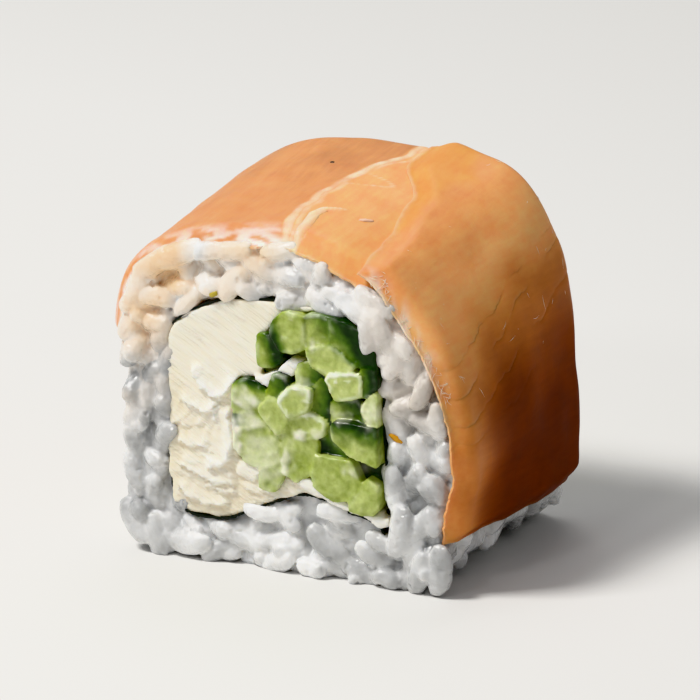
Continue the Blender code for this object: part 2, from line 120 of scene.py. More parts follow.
# Lines on the fish: x in millimetres at each distance from the front cut, in millimetres
FAT_LINE = (
    (0.0, 0.0), (1.5, -0.7), (4.3, -1.5), (8.8, -1.8), (14.3, -1.2), (17.5, -0.6), (20.3, 0.4), (23.0, 1.6),
    (29.6, 2.6),
)
FOLD_LINE = ((0.0, 0.6), (3.3, 0.4), (6.3, -0.1), (8.0, 0.3), (9.0, 1.9))
# Where the left slice ends under the right one
HIDDEN_END = ((0.0, 7.6), (8.3, 7.9), (12.8, 9.1), (17.8, 8.9), (21.8, 10.2), (25.5, 9.1), (29.6, 8.6))


def linear(hex_colour):
    """sRGB hex to linear RGB."""
    channels = [int(hex_colour[i:i + 2], 16) / 255 for i in (0, 2, 4)]
    return [c / 12.92 if c <= 0.04045 else ((c + 0.055) / 1.055) ** 2.4 for c in channels]


def length_property(name, description, default):
    return FloatProperty(name=name, description=description, default=default, min=0.0,
                         subtype="DISTANCE", unit="LENGTH")


def colour_property(name, description, hex_colour):
    return FloatVectorProperty(name=name, description=description, default=linear(hex_colour), min=0.0,
                               max=1.0, size=3, subtype="COLOR")


class RollSizes(bpy.types.PropertyGroup):
    """Sizes of the fine shapes."""

    grain_length: length_property("Grain length", "Length of a cooked grain of rice", 5.8 * MM)
    grain_width: length_property("Grain width", "Width of a cooked grain of rice", 2.7 * MM)
    grain_height: length_property("Grain height", "Thickness of a cooked grain of rice", 2.4 * MM)
    grain_spacing: length_property("Grain spacing", "Least distance between grains that show", 2.5 * MM)
    rice_voxel: length_property("Rice detail", "Cell size at which the sticky grains are fused", 0.17 * MM)
    nori_thickness: length_property("Nori thickness", "Thickness of the damp sheet", 0.23 * MM)
    cheese_voxel: length_property("Cheese detail", "Cell size of the cheese", 0.22 * MM)
    cucumber_voxel: length_property("Cucumber detail", "Cell size of the pressed sticks", 0.18 * MM)
    left_fish: length_property("Left slice", "Thickness of the left slice of fish", LEFT_FISH_THICKNESS)
    right_fish: length_property("Right slice", "Thickness of the right slice of fish", RIGHT_FISH_THICKNESS)
    strand_width: length_property("Strand width", "Thickness of the fine strands on the fish", 0.09 * MM)
    strands: IntProperty(name="Strands", description="Fine strands on the right slice", default=170, min=0)


class RollColours(bpy.types.PropertyGroup):
    """Colours of the food."""

    grain_white: colour_property("Grain white", "Starch on and between the grains", "F3F3F2")
    grain_clear: colour_property("Grain clear", "A grain's clear middle", "A9AAAA")
    # Painted light: the warm tint that light from the fish gives the rice beside it
    grain_painted_fish_light: colour_property("Grain warm", "Rice that the fish's oil has stained", "F2D4AE")
    nori: colour_property("Nori", "Damp seaweed", "141C16")
    cheese: colour_property("Cheese", "Cream cheese", "FDF9EE")
    # Painted shade: the colour of the cheese's hollows
    cheese_painted_shade: colour_property("Cheese hollows", "Cream cheese in its hollows", "EEE4CC")
    flesh_pale: colour_property("Cucumber flesh", "Pale cut flesh", "C0CB80")
    flesh_green: colour_property("Cucumber green", "Clearer, greener flesh", "7C9018")
    flesh_olive: colour_property("Cucumber rim", "Flesh just under the skin", "3C6204")
    skin: colour_property("Cucumber skin", "Dark skin", "0C2C00")
    # Painted highlight: the white of wet edges that catch the light
    wet_edge: colour_property("Cucumber edge", "Bruised wet edges of the cut", "F0F4E4")
    fish_pink: colour_property("Fish left", "The left slice beyond its line of fat", "D89663")
    fish_orange: colour_property("Fish middle", "The left slice beside the right one", "F6B372")
    fish_fat: colour_property("Fish fat", "The line of fat, and the strands", "FCE8C8")
    fish_top: colour_property("Fish right, top", "The right slice where it lies level", "E29D64")
    fish_side: colour_property("Fish right, side", "The right slice down its side", "FFBA7C")
    # Painted shade: the foot's colour stands in for the shade that falls there
    fish_low: colour_property("Fish right, foot", "The right slice at its foot", "68280A")
    fish_glow: colour_property("Fish overlap", "The right slice where it lies on the left one", "E5A052")
    # Partly thin pale flesh, partly a painted highlight along the rim
    fish_rim: colour_property("Fish rim", "Thin rims", "FAD3B4")
    # Partly milky flesh, partly a painted highlight along the rims
    fish_worn: colour_property("Fish, worn", "Where the front rim is scraped and milky", "FEF6EE")
    fleck: colour_property("Fleck", "A small yellow crumb in the rice", "D79A25")
    pale_fleck: colour_property("Pale fleck", "A small crumb above the cheese", "B9A53C")
    shred: colour_property("Shred", "A pale shred of fish on the left slice", "F6CDB0")
    speck: colour_property("Speck", "A dark speck on the left slice", "3A2A18")
    floor: colour_property("Floor", "The stage's floor", "E4E3E0")


# ---- Curves and outlines -----------------------------------------------------------------------------


def smooth(share):
    """Ease from 0 to 1."""
    share = min(max(share, 0.0), 1.0)
    return share * share * (3.0 - 2.0 * share)


def mix(a, b, share):
    return a * (1.0 - share) + b * share


def spline(points, t):
    """The point at t on the closed curve through the points, t counted in points."""
    index = math.floor(t)
    f = t - index
    p0, p1, p2, p3 = (Vector(points[(index + k) % len(points)]) for k in (-1, 0, 1, 2))
    bend = 2.0 * p0 - 5.0 * p1 + 4.0 * p2 - p3
    twist = 3.0 * (p1 - p2) + p3 - p0
    return 0.5 * (2.0 * p1 + (p2 - p0) * f + bend * f ** 2 + twist * f ** 3)


def along(values, y):
    """The value at y of a row of values spread evenly from the front cut to the back cut."""
    steps = min(max(y / ROLL_LENGTH + 0.5, 0.0), 1.0) * (len(values) - 1)
    index = min(int(steps), len(values) - 2)
    return mix(values[index], values[index + 1], smooth(steps - index))


def line_x(line, y):
    """Where a line on the fish lies at y, in metres."""
    from_cut = (y + ROLL_LENGTH / 2) / MM
    return float(np.interp(from_cut, [p[0] for p in line], [p[1] for p in line])) * MM


def rice_outline(t, y):
    """The rice's outer outline at y, and the way out of it."""
    share = smooth(y / ROLL_LENGTH + 0.5)
    step = 0.02
    point, before, after = (
        spline(RICE_FRONT, at).lerp(spline(RICE_BACK, at), share) * MM for at in (t, t - step, t + step)
    )
    ahead = (after - before).normalized()
    outward = Vector((-ahead.y, ahead.x))
    drawn_in = CUT_ROUNDING * (1.0 - smooth((ROLL_LENGTH / 2 - abs(y)) / CUT_ROUNDING_WIDTH))
    if point.y > DRAWN_IN_ABOVE:
        point -= outward * drawn_in
    return point, outward


def on_roll(t, y, height):
    """A point at a height over the rice."""
    point, outward = rice_outline(t, y)
    point += outward * height
    return Vector((point.x, y, point.y))


def filling_rise(y):
    """How much higher the filling lies at y than at the front cut."""
    return FILLING_RISE * (y / ROLL_LENGTH + 0.5)


def grown(loop, distance):
    """The loop with its sides moved outwards."""
    result = []
    for i, here in enumerate(loop):
        before = (here - loop[i - 1]).normalized()
        after = (loop[(i + 1) % len(loop)] - here).normalized()
        outward = Vector((-before.y - after.y, before.x + after.x)).normalized()
        reach = max(outward.dot(Vector((-before.y, before.x))), 0.5)
        result.append(here + outward * (distance / reach))
    return result


def even_loop(points, count, grow=0.0):
    """Evenly spaced points on the closed curve, moved outwards by grow."""
    fine_count = count * 8
    fine = [spline(points, len(points) * i / fine_count) * MM for i in range(fine_count)]
    lengths = [0.0]
    for here, there in zip(fine, fine[1:] + fine[:1]):
        lengths.append(lengths[-1] + (there - here).length)
    loop = []
    index = 0
    for i in range(count):
        want = lengths[-1] * i / count
        while lengths[index + 1] < want:
            index += 1
        share = (want - lengths[index]) / (lengths[index + 1] - lengths[index])
        loop.append(fine[index].lerp(fine[(index + 1) % len(fine)], share))
    return grown(loop, grow)


def filling_loop(inset):
    """The filling's outline, inset from the nori's middle line."""
    points = (FOLD_CORNER,) + NORI_LOOP[FOLD_POINTS:-FOLD_POINTS + 1]
    return even_loop(points, LOOP_POINTS, -inset)


def noise_at(x, y, z, scale=1.0):
    """Smooth noise from -1 to 1 whose lumps are about scale across."""
    return noise.noise(Vector((x, y, z)) / scale)


# ---- Modelling by operators --------------------------------------------------------------------------


def only(piece):
    """Select this object alone and make it the active one."""
    bpy.ops.object.select_all(action="DESELECT")
    piece.select_set(True)
    bpy.context.view_layer.objects.active = piece


def named(name):
    """Name the primitive that was just added."""
    piece = bpy.context.object
    piece.name = name
    piece.data.name = name
    return piece


def modify(piece, kind, **settings):
    """Add a modifier and apply it."""
    only(piece)
    modifier = piece.modifiers.new(kind.title(), kind)
    for name, value in settings.items():
        setattr(modifier, name, value)
    bpy.ops.object.modifier_apply(modifier=modifier.name)


def sheet_of(name, columns, rows, place):
    """A grid primitive whose points are moved to place(u, v), with u and v from 0 to 1."""
    bpy.ops.object.select_all(action="DESELECT")
    bpy.ops.mesh.primitive_grid_add(x_subdivisions=columns, y_subdivisions=rows, size=1.0)
    piece = named(name)
    for vert in piece.data.vertices:
        vert.co = place(vert.co.x + 0.5, vert.co.y + 0.5)
    return piece


def face_outwards():
    """Turn the faces of the active object outwards, and leave edit mode."""
    bpy.ops.object.mode_set(mode="EDIT")
    bpy.ops.mesh.select_all(action="SELECT")
    bpy.ops.mesh.normals_make_consistent(inside=False)
    bpy.ops.object.mode_set(mode="OBJECT")


def prism(name, loop, end, start=None):
    """A flat circle moved onto the outline and extruded along the roll from start to end.

    Without a start it begins as far the other way.
    """
    start = -end if start is None else start
    bpy.ops.object.select_all(action="DESELECT")
    bpy.ops.mesh.primitive_circle_add(vertices=len(loop), fill_type="NGON")
    piece = named(name)
    for vert, point in zip(piece.data.vertices, loop):
        vert.co = (point.x, start, point.y + filling_rise(start))
    bpy.ops.object.mode_set(mode="EDIT")
    bpy.ops.mesh.select_all(action="SELECT")
    rise = filling_rise(end) - filling_rise(start)
    bpy.ops.mesh.extrude_region_move(TRANSFORM_OT_translate={"value": (0.0, end - start, rise)})
    face_outwards()
    return piece


def cut_with(piece, operation, cutter):
    """Cut by an object, and remove that."""
    modify(piece, "BOOLEAN", operation=operation, object=cutter)
    bpy.data.objects.remove(cutter)


def join(name, pieces):
    """Join objects into one."""
    bpy.ops.object.select_all(action="DESELECT")
    for piece in pieces:
        piece.select_set(True)
    bpy.context.view_layer.objects.active = pieces[0]
    bpy.ops.object.join()
    return named(name)


def copy_of(source, matrix):
    """A copy with its own mesh, put in place."""
    piece = source.copy()
    piece.data = source.data.copy()
    piece.data.transform(matrix)
    bpy.context.scene.collection.objects.link(piece)
    return piece


def points_of(piece, what="co"):
    """Where the mesh's points lie, or with what="normal" the way that each faces, as an array."""
    flat = np.zeros(len(piece.data.vertices) * 3)
    piece.data.vertices.foreach_get(what, flat)
    return flat.reshape(-1, 3)


def set_points(piece, points):
    piece.data.vertices.foreach_set("co", np.asarray(points, dtype=np.float32).ravel())
    piece.data.update()


def paint(piece, name, values):
    """Store one number for each point, for the material."""
    layer = piece.data.attributes.new(name, "FLOAT", "POINT")
    layer.data.foreach_set("value", np.asarray(values, dtype=np.float32))


def paint_colour(piece, name, colours):
    """Store one linear colour for each point, for the material."""
    layer = piece.data.attributes.new(name, "FLOAT_COLOR", "POINT")
    colours = np.asarray(colours, dtype=np.float32)
    opaque = np.ones((len(colours), 1), dtype=np.float32)
    layer.data.foreach_set("color", np.hstack((colours, opaque)).ravel())


def smooth_shading(piece, angle=None):
    only(piece)
    if angle is None:
        bpy.ops.object.shade_smooth()
    else:
        bpy.ops.object.shade_smooth_by_angle(angle=math.radians(angle))


def settle(piece, node, material):
    """Give the piece its material, and put it in the frame in place of its solid."""
    piece.data.materials.clear()
    piece.data.materials.append(material)
    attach(piece, "root")
    if node:
        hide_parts(node)


# ---- Materials -----------------------------------------------------------------------------------------


def colour(name):
    """A colour of the scene's settings, with alpha."""
    return (*getattr(bpy.context.scene.roll_colours, name), 1.0)


def shades_of(*names):
    """Colours of the scene's settings by their names, as arrays to mix point by point."""
    return {name: np.array(getattr(bpy.context.scene.roll_colours, name)) for name in names}


def add_node(material, kind, inputs=None, **settings):
    """Add a node, with its settings, and set or link its inputs."""
    node = material.node_tree.nodes.new(kind)
    for name, value in settings.items():
        setattr(node, name, value)
    for key, value in (inputs or {}).items():
        if isinstance(value, bpy.types.NodeSocket):
            material.node_tree.links.new(value, node.inputs[key])
        else:
            node.inputs[key].default_value = value
    return node


def new_material(name, **sockets):
    """A material with its Principled shader's sockets set."""
    material = bpy.data.materials.new(name)
    material.use_nodes = True
    shader = material.node_tree.nodes["Principled BSDF"]
    for key, value in sockets.items():
        shader.inputs[key.replace("_", " ")].default_value = value
    return material, shader


def drive(material, shader, **sockets):
    """Link sockets of the shader."""
    for key, value in sockets.items():
        material.node_tree.links.new(value, shader.inputs[key.replace("_", " ")])


def blend_colours(material, share, low, high, mode="MIX"):
    """A colour between low and high by share; each is a socket or a value."""
    node = add_node(material, "ShaderNodeMix", {"Factor": share}, data_type="RGBA", blend_type=mode)
    for socket, value in ((node.inputs[6], low), (node.inputs[7], high)):
        if isinstance(value, bpy.types.NodeSocket):
            material.node_tree.links.new(value, socket)
        else:
            socket.default_value = value
    return node.outputs[2]


def rice_material():
    """Boiled short grain rice, moist: clear starch round a whiter middle, with a soft wet gloss."""
    material, shader = new_material(
        "cooked_short_grain_rice", Roughness=0.25, IOR=1.4, Subsurface_Weight=0.8,
        Subsurface_Radius=(1.0, 0.94, 0.86), Subsurface_Scale=1.0 * MM, Coat_Weight=1.0, Coat_Roughness=0.06,
    )
    where = add_node(material, "ShaderNodeTexCoord").outputs["Object"]
    tone = add_node(material, "ShaderNodeAttribute", attribute_name="tone").outputs["Fac"]
    warm = add_node(material, "ShaderNodeAttribute", attribute_name="warm").outputs["Fac"]
    body = blend_colours(material, tone, colour("grain_clear"), colour("grain_white"))
    # Painted light: the rice turns warm where light from the fish falls on it
    fish_lit = blend_colours(material, warm, body, colour("grain_painted_fish_light"))
    # Each grain is smooth, with wet starch in soft lumps of about 1 mm
    lumps = add_node(material, "ShaderNodeTexNoise", {"Vector": where, "Scale": 1000.0, "Detail": 1.0,
                                                      "Roughness": 0.4})
    gloss = add_node(material, "ShaderNodeMapRange", {"Value": lumps.outputs["Fac"], "From Min": 0.3,
                                                      "From Max": 0.7, "To Min": 0.15, "To Max": 0.35})
    bump = add_node(material, "ShaderNodeBump", {"Height": lumps.outputs["Fac"], "Strength": 0.6,
                                                 "Distance": 0.35 * MM})
    # The water on it wrinkles every 0.4 mm, which makes it sparkle
    water = add_node(material, "ShaderNodeTexNoise", {"Vector": where, "Scale": 2600.0, "Detail": 1.0})
    wrinkles = add_node(material, "ShaderNodeBump", {"Height": water.outputs["Fac"], "Strength": 1.0,
                                                     "Distance": 0.32 * MM, "Normal": bump.outputs["Normal"]})
    drive(material, shader, Base_Color=fish_lit, Roughness=gloss.outputs["Result"],
          Normal=bump.outputs["Normal"], Coat_Normal=wrinkles.outputs["Normal"])
    return material


def nori_material():
    """Toasted seaweed gone damp: near black green, dull, with a fine fibrous grain."""
    material, shader = new_material("damp_nori", Roughness=0.55, Base_Color=colour("nori"),
                                    Specular_IOR_Level=0.4)
    where = add_node(material, "ShaderNodeTexCoord").outputs["Object"]
    fibres = add_node(material, "ShaderNodeTexNoise", {"Vector": where, "Scale": 1800.0, "Detail": 4.0})
    bump = add_node(material, "ShaderNodeBump", {"Height": fibres.outputs["Fac"], "Strength": 0.6,
                                                 "Distance": 0.1 * MM})
    drive(material, shader, Normal=bump.outputs["Normal"])
    return material


def cheese_material():
    """Cream cheese wiped by a knife: opaque, warm white, with a satin surface."""
    material, shader = new_material(
        "cream_cheese", Roughness=0.5, IOR=1.45, Subsurface_Weight=0.45, Subsurface_Radius=(1.0, 0.85, 0.6),
        Subsurface_Scale=0.8 * MM,
    )
    where = add_node(material, "ShaderNodeTexCoord").outputs["Object"]
    relief = add_node(material, "ShaderNodeAttribute", attribute_name="relief").outputs["Fac"]
    # The relief attribute paints shade and light: darker in the hollows, brighter where it stands out and
    # higher up
    body = blend_colours(material, relief, colour("cheese_painted_shade"), colour("cheese"))
    # The knife went down to the right at 30 degrees, which leaves pale and dark streaks 0.7 mm apart
    knife = (0.0, math.radians(30.0), 0.0)
    streaks = add_node(material, "ShaderNodeMapping", {
        "Vector": where, "Rotation": knife, "Scale": (5.0 * MM, 5.0 * MM, 0.7 * MM)}, vector_type="TEXTURE")
    shades = add_node(material, "ShaderNodeTexNoise", {"Vector": streaks.outputs["Vector"], "Scale": 1.0,
                                                       "Detail": 4.0})
    body = blend_colours(material, 0.35, body, shades.outputs["Fac"], "OVERLAY")
    # and fine scratches 0.25 mm apart
    turned = add_node(material, "ShaderNodeMapping", {
        "Vector": where, "Rotation": knife, "Scale": (3.0 * MM, 3.0 * MM, 0.25 * MM)}, vector_type="TEXTURE")
    scratches = add_node(material, "ShaderNodeTexNoise", {"Vector": turned.outputs["Vector"], "Scale": 1.0,
                                                          "Detail": 3.0})
    bump = add_node(material, "ShaderNodeBump", {"Height": scratches.outputs["Fac"], "Strength": 0.8,
                                                 "Distance": 0.2 * MM})
    drive(material, shader, Base_Color=body, Normal=bump.outputs["Normal"])
    return material


def cucumber_material():
    """Fresh cut cucumber: clear pale flesh under a dark skin, wet all over."""
    material, shader = new_material(
        "cut_cucumber", Roughness=0.3, IOR=1.36, Subsurface_Weight=0.4, Subsurface_Radius=(0.7, 1.0, 0.35),
        Subsurface_Scale=0.7 * MM, Specular_IOR_Level=0.35, Coat_Weight=0.35, Coat_Roughness=0.08,
    )
    where = add_node(material, "ShaderNodeTexCoord").outputs["Object"]
    flesh = add_node(material, "ShaderNodeAttribute", attribute_name="flesh").outputs["Color"]
    film = add_node(material, "ShaderNodeAttribute", attribute_name="film").outputs["Fac"]
    mottle = add_node(material, "ShaderNodeTexNoise", {"Vector": where, "Scale": 1500.0, "Detail": 4.0})
    toned = blend_colours(material, 0.8, flesh, mottle.outputs["Fac"], "SOFT_LIGHT")
    # Cheese that the knife drew over the flesh, in patches of about 1 mm
    patches = add_node(material, "ShaderNodeTexNoise", {"Vector": where, "Scale": 700.0, "Detail": 4.0})
    broken = add_node(material, "ShaderNodeMapRange", {"Value": patches.outputs["Fac"], "From Min": 0.35,
                                                       "From Max": 0.65, "To Min": 0.5, "To Max": 1.0})
    coat = add_node(material, "ShaderNodeMath", {0: broken.outputs["Result"], 1: film}, operation="MULTIPLY")
    filmed = blend_colours(material, coat.outputs["Value"], toned, colour("cheese"))
    bump = add_node(material, "ShaderNodeBump", {"Height": mottle.outputs["Fac"], "Strength": 0.45,
                                                 "Distance": 0.12 * MM})
    drive(material, shader, Base_Color=filmed, Normal=bump.outputs["Normal"])
    return material


def fish_material(name, fibrous):
    """Thin slices of cured fish: clear oily flesh with fine fibres along the roll, more or less fibrous."""
    material, shader = new_material(
        name, Roughness=0.42, IOR=1.38, Subsurface_Weight=0.45, Subsurface_Radius=(1.0, 0.5, 0.2),
        Subsurface_Scale=1.0 * MM, Coat_Roughness=0.2,
    )
    where = add_node(material, "ShaderNodeTexCoord").outputs["Object"]
    flesh = add_node(material, "ShaderNodeAttribute", attribute_name="flesh").outputs["Color"]
    # Fibres 0.6 mm across and some 5 mm long
    drawn = add_node(material, "ShaderNodeMapping", {"Vector": where, "Scale": (1700.0, 200.0, 1700.0)})
    fibres = add_node(material, "ShaderNodeTexNoise", {"Vector": drawn.outputs["Vector"], "Scale": 1.0,
                                                       "Detail": 3.0})
    clouds = add_node(material, "ShaderNodeTexNoise", {"Vector": where, "Scale": 330.0, "Detail": 5.0,
                                                       "Roughness": 0.65})
    streaked = blend_colours(material, fibrous, flesh, fibres.outputs["Fac"], "OVERLAY")
    clouded = blend_colours(material, 0.3, streaked, clouds.outputs["Fac"], "OVERLAY")
    gloss = add_node(material, "ShaderNodeMapRange", {"Value": clouds.outputs["Fac"], "From Min": 0.35,
                                                      "From Max": 0.65, "To Min": 0.36, "To Max": 0.5})
    fibre_bump = add_node(material, "ShaderNodeBump", {"Height": fibres.outputs["Fac"], "Strength": 0.25,
                                                       "Distance": 0.08 * MM})
    bump = add_node(material, "ShaderNodeBump", {
        "Height": clouds.outputs["Fac"], "Strength": 0.3, "Distance": 0.2 * MM,
        "Normal": fibre_bump.outputs["Normal"]})
    # Where the flesh is deep and dark, little light shines back off it
    parts = add_node(material, "ShaderNodeSeparateColor", {"Color": flesh})
    shine = add_node(material, "ShaderNodeMapRange", {"Value": parts.outputs["Red"], "From Min": 0.2,
                                                      "From Max": 0.6, "To Min": 0.06, "To Max": 0.28})
    film = add_node(material, "ShaderNodeMapRange", {"Value": parts.outputs["Red"], "From Min": 0.2,
                                                     "From Max": 0.6, "To Min": 0.0, "To Max": 0.1})
    drive(material, shader, Base_Color=clouded, Roughness=gloss.outputs["Result"],
          Normal=bump.outputs["Normal"], Specular_IOR_Level=shine.outputs["Result"],
          Coat_Weight=film.outputs["Result"])
    return material


def strand_material():
    """Fine strands torn from the fish: pale, moist and a little glossy."""
    return new_material(
        "fish_strand", Base_Color=colour("fish_fat"), Roughness=0.35, Coat_Weight=0.3, Subsurface_Weight=0.3,
        Subsurface_Radius=(1.0, 0.6, 0.3), Subsurface_Scale=0.5 * MM,
    )[0]


# ---- Rice ------------------------------------------------------------------------------------------------


def grain_shapes(sizes, draw):
    """A few grains to copy: plump blunt ovals, a little bent and uneven, each of 70 faces."""
    half = Vector((sizes.grain_width, sizes.grain_height, sizes.grain_length)) / 2
    shapes = []
    for k in range(5):
        bpy.ops.object.select_all(action="DESELECT")
        bpy.ops.mesh.primitive_uv_sphere_add(segments=10, ring_count=7, radius=1.0)
        grain = named(f"grain_{k}")
        bend = draw.uniform(-0.15, 0.15)
        for vert in grain.data.vertices:
            blunt = max(vert.co.xy.length, 1e-6) ** -0.25
            uneven = 1.0 + 0.14 * noise.noise(vert.co * 1.7 + Vector((k * 7.0, 0.0, 0.0)))
            x, y = vert.co.xy * blunt * uneven
            z = math.copysign(abs(vert.co.z) ** 0.85, vert.co.z)
            vert.co = (x * half.x + bend * z * z * half.z, y * half.y, z * half.z)
        shapes.append(grain)
    return shapes, half


class Grain:
    """Where one grain lies."""

    def __init__(self, middle, long_axis, face, scale, tone):
        long_axis = long_axis.normalized()
        side_axis = face.cross(long_axis)
        if side_axis.length < 0.05:
            side_axis = long_axis.orthogonal()
        side_axis.normalize()
        self.middle = middle
        self.turn = Matrix((side_axis, long_axis.cross(side_axis), long_axis)).transposed()
        self.scale = scale
        self.tone = tone

    def reach(self, half, direction):
        """How far the grain extends from its middle in a direction."""
        local = self.turn.transposed() @ direction
        return self.scale * Vector(local[i] * half[i] for i in range(3)).length

    def matrix(self):
        return Matrix.Translation(self.middle) @ self.turn.to_4x4() @ Matrix.Scale(self.scale, 4)


def spread(candidates, spacing):
    """Those candidates that lie a spacing apart from all that were kept before."""
    kept = []
    for candidate in candidates:
        if all((candidate[0] - other[0]).length > spacing for other in kept):
            kept.append(candidate)
    return kept


def grain_limits(draw, side, inner, outer, sunk):
    """How far a grain may lie over the nori at inner and past the outline at outer, and if fish covers it."""
    beside_filling = abs(inner.x) > 9.5 * MM
    over_filling = inner.y > 26.5 * MM and inner.x > -7.0 * MM
    at_right_wall = inner.x > 9.5 * MM and inner.y < 22.0 * MM
    at_upper_left = inner.x < -6.5 * MM and inner.y > 23.0 * MM
    # They reach furthest over it at the left, the top and the upper right, and least at the upper left
    over = 1.0 if at_right_wall else 1.5 if beside_filling or over_filling else 0.9
    inwards = 0.0 if sunk else (draw.uniform(0.4, 0.8) if at_upper_left else draw.uniform(0.6, over)) * MM
    under_left_fish = outer.x < 4.0 * MM and outer.y > 20.0 * MM
    under_right_fish = outer.x > 4.0 * MM and outer.y > 4.0 * MM
    covered = under_right_fish or (under_left_fish and side > 0)
    if side > 0 and outer.x > 10.5 * MM and outer.y > 29.0 * MM:
        # At the back it fills the hollow beside the left slice's end
        outwards = 0.6 * MM
    elif under_left_fish and side < 0:
        outwards = 0.3 * MM
    else:
        outwards = (-0.4 if covered else 0.05) * MM
    return inwards, outwards, covered


def face_grains(draw, side, half, spacing, sunk=0.0):
    """Grains over one cut face, sunk behind it or not: side is -1 in front and 1 at the back."""
    hole_count, outline_count, tries = 160, 260, 6
    outline = RICE_FRONT if side < 0 else RICE_BACK
    y_face = side * ROLL_LENGTH / 2
    lift = Vector((0.0, filling_rise(y_face)))
    hole = [point + lift for point in even_loop(NORI_LOOP, hole_count, 0.1 * MM)]
    rims, others = [], []
    loop = even_loop(outline, outline_count)
    for before, outer, after in zip(loop[-1:] + loop[:-1], loop, loop[1:] + loop[:1]):
        inner = min(hole, key=lambda point: (point - outer).length)
        ahead = (after - before).normalized()
        outward = Vector((-ahead.y, ahead.x))
        rims += [(inner, inner, outer, outward), (outer, inner, outer, outward)]
        others += [(inner.lerp(outer, draw.uniform(0.1, 0.9)), inner, outer, outward) for _ in range(tries)]
    draw.shuffle(rims)
    draw.shuffle(others)
    grains = []
    for middle, inner, outer, outward in spread(rims + others, spacing):
        across = (outer - inner).normalized()
        ring = Vector((-across.y, across.x))
        turn = draw.gauss(0.0, 0.5 if middle in (inner, outer) else 1.0)
        flat = ring * math.cos(turn) + across * math.sin(turn)
        long_axis = Vector((flat.x, draw.gauss(0.0, 0.45), flat.y))
        grain = Grain(Vector((middle.x, 0.0, middle.y)), long_axis, Vector((0.0, side, 0.0)),
                      draw.uniform(0.76, 1.0), draw.random())
        reach = grain.reach(half, Vector((across.x, 0.0, across.y)))
        width = (outer - inner).length
        inwards, outwards, covered = grain_limits(draw, side, inner, outer, sunk)
        fit = min((width + inwards + outwards) / (2.0 * reach), 1.0)
        grain.scale *= fit
        low, high = fit * reach - inwards, width - fit * reach + outwards
        place = min(max((middle - inner).length, low), high)
        middle = inner + across * place
        reach_out = grain.reach(half, Vector((outward.x, 0.0, outward.y)))
        beyond = (middle - outer).dot(outward) + reach_out - outwards
        if covered and beyond > 0.0:
            middle -= outward * beyond
        stands_out = draw.uniform(-0.3, 0.5) * MM - sunk
        depth = ROLL_LENGTH / 2 + stands_out - grain.reach(half, Vector((0.0, 1.0, 0.0)))
        grain.middle = Vector((middle.x, side * depth, middle.y))
        grains.append(grain)
    return grains


def side_grains(draw, half, spacing):
    """Grains on the bare sides and the bottom, between the lower ends of the fish."""
    start, end = RIGHT_FISH_END[0] - 0.6, LEFT_FISH_START[0] + len(RICE_FRONT) + 0.9
    tries = 6000
    candidates = []
    for _ in range(tries):
        t, y = draw.uniform(start, end), draw.uniform(-0.46, 0.46) * ROLL_LENGTH
        candidates.append((on_roll(t, y, 0.0), t, y))
    grains = []
    for point, t, y in spread(candidates, spacing):
        outward = rice_outline(t, y)[1]
        face = Vector((outward.x, 0.0, outward.y))
        long_axis = face.cross(Vector((0.0, 1.0, 0.0)))
        long_axis.rotate(Matrix.Rotation(draw.uniform(0.0, math.pi), 3, face))
        long_axis += face * draw.gauss(0.0, 0.25)
        grain = Grain(point, long_axis, face, draw.uniform(0.85, 1.08), draw.random())
        under_fish = t < start + 0.9 or t > end - 1.1
        stands_out = draw.uniform(-0.3, 0.15 if under_fish else 0.5) * MM
        grain.middle = point + face * (stands_out - grain.reach(half, face))
        grains.append(grain)
    return grains


RICE_SEED = 23
RICE_POINTS = 92000         # how many its mesh keeps
SECOND_LAYER = 0.75 * MM    # how far behind the first layer it lies
CORE_RECESS = 1.6 * MM      # how far behind the cuts the core ends

# Grains that the photo shows one by one: middle (x, y, z), long axis and scale
SINGLE_GRAINS = (
    ((17.3, -14.6, 2.9), (0.12, -0.1, 1.0), 1.0), ((12.9, -14.7, 6.4), (0.2, -0.1, 1.0), 1.08),
    ((14.9, -14.5, 2.2), (0.35, -0.2, 1.0), 0.9), ((-17.6, -14.3, 3.0), (0.6, -0.3, -0.6), 1.0),
    ((11.9, -14.4, 11.2), (0.1, -0.2, 1.0), 0.8), ((-17.3, -14.1, 28.2), (0.35, 0.1, 1.0), 0.95),
    ((-15.2, -14.1, 31.1), (1.0, 0.1, 0.7), 0.95), ((-12.2, -14.2, 32.6), (1.0, 0.1, 0.4), 0.9),
    ((-15.0, -14.7, 1.9), (0.3, -0.1, -1.0), 0.85), ((-11.2, -14.7, 1.6), (1.0, -0.1, 0.1), 0.9),
)
# The lump that hangs over the filling's upper right corner
CORNER_LUMP = (
    ((9.3, -15.0, 27.4), (0.08, -0.05, -1.0), 0.9), ((10.6, -14.8, 27.6), (0.4, 0.0, -0.9), 0.9),
    ((8.3, -14.7, 29.0), (0.9, 0.0, -0.4), 0.85), ((11.9, -14.3, 24.8), (0.2, 0.0, 1.0), 0.9),
    ((9.6, -14.2, 30.2), (0.9, 0.1, -0.5), 0.9), ((10.2, -14.2, 26.2), (0.1, 0.0, -1.0), 0.75),
)


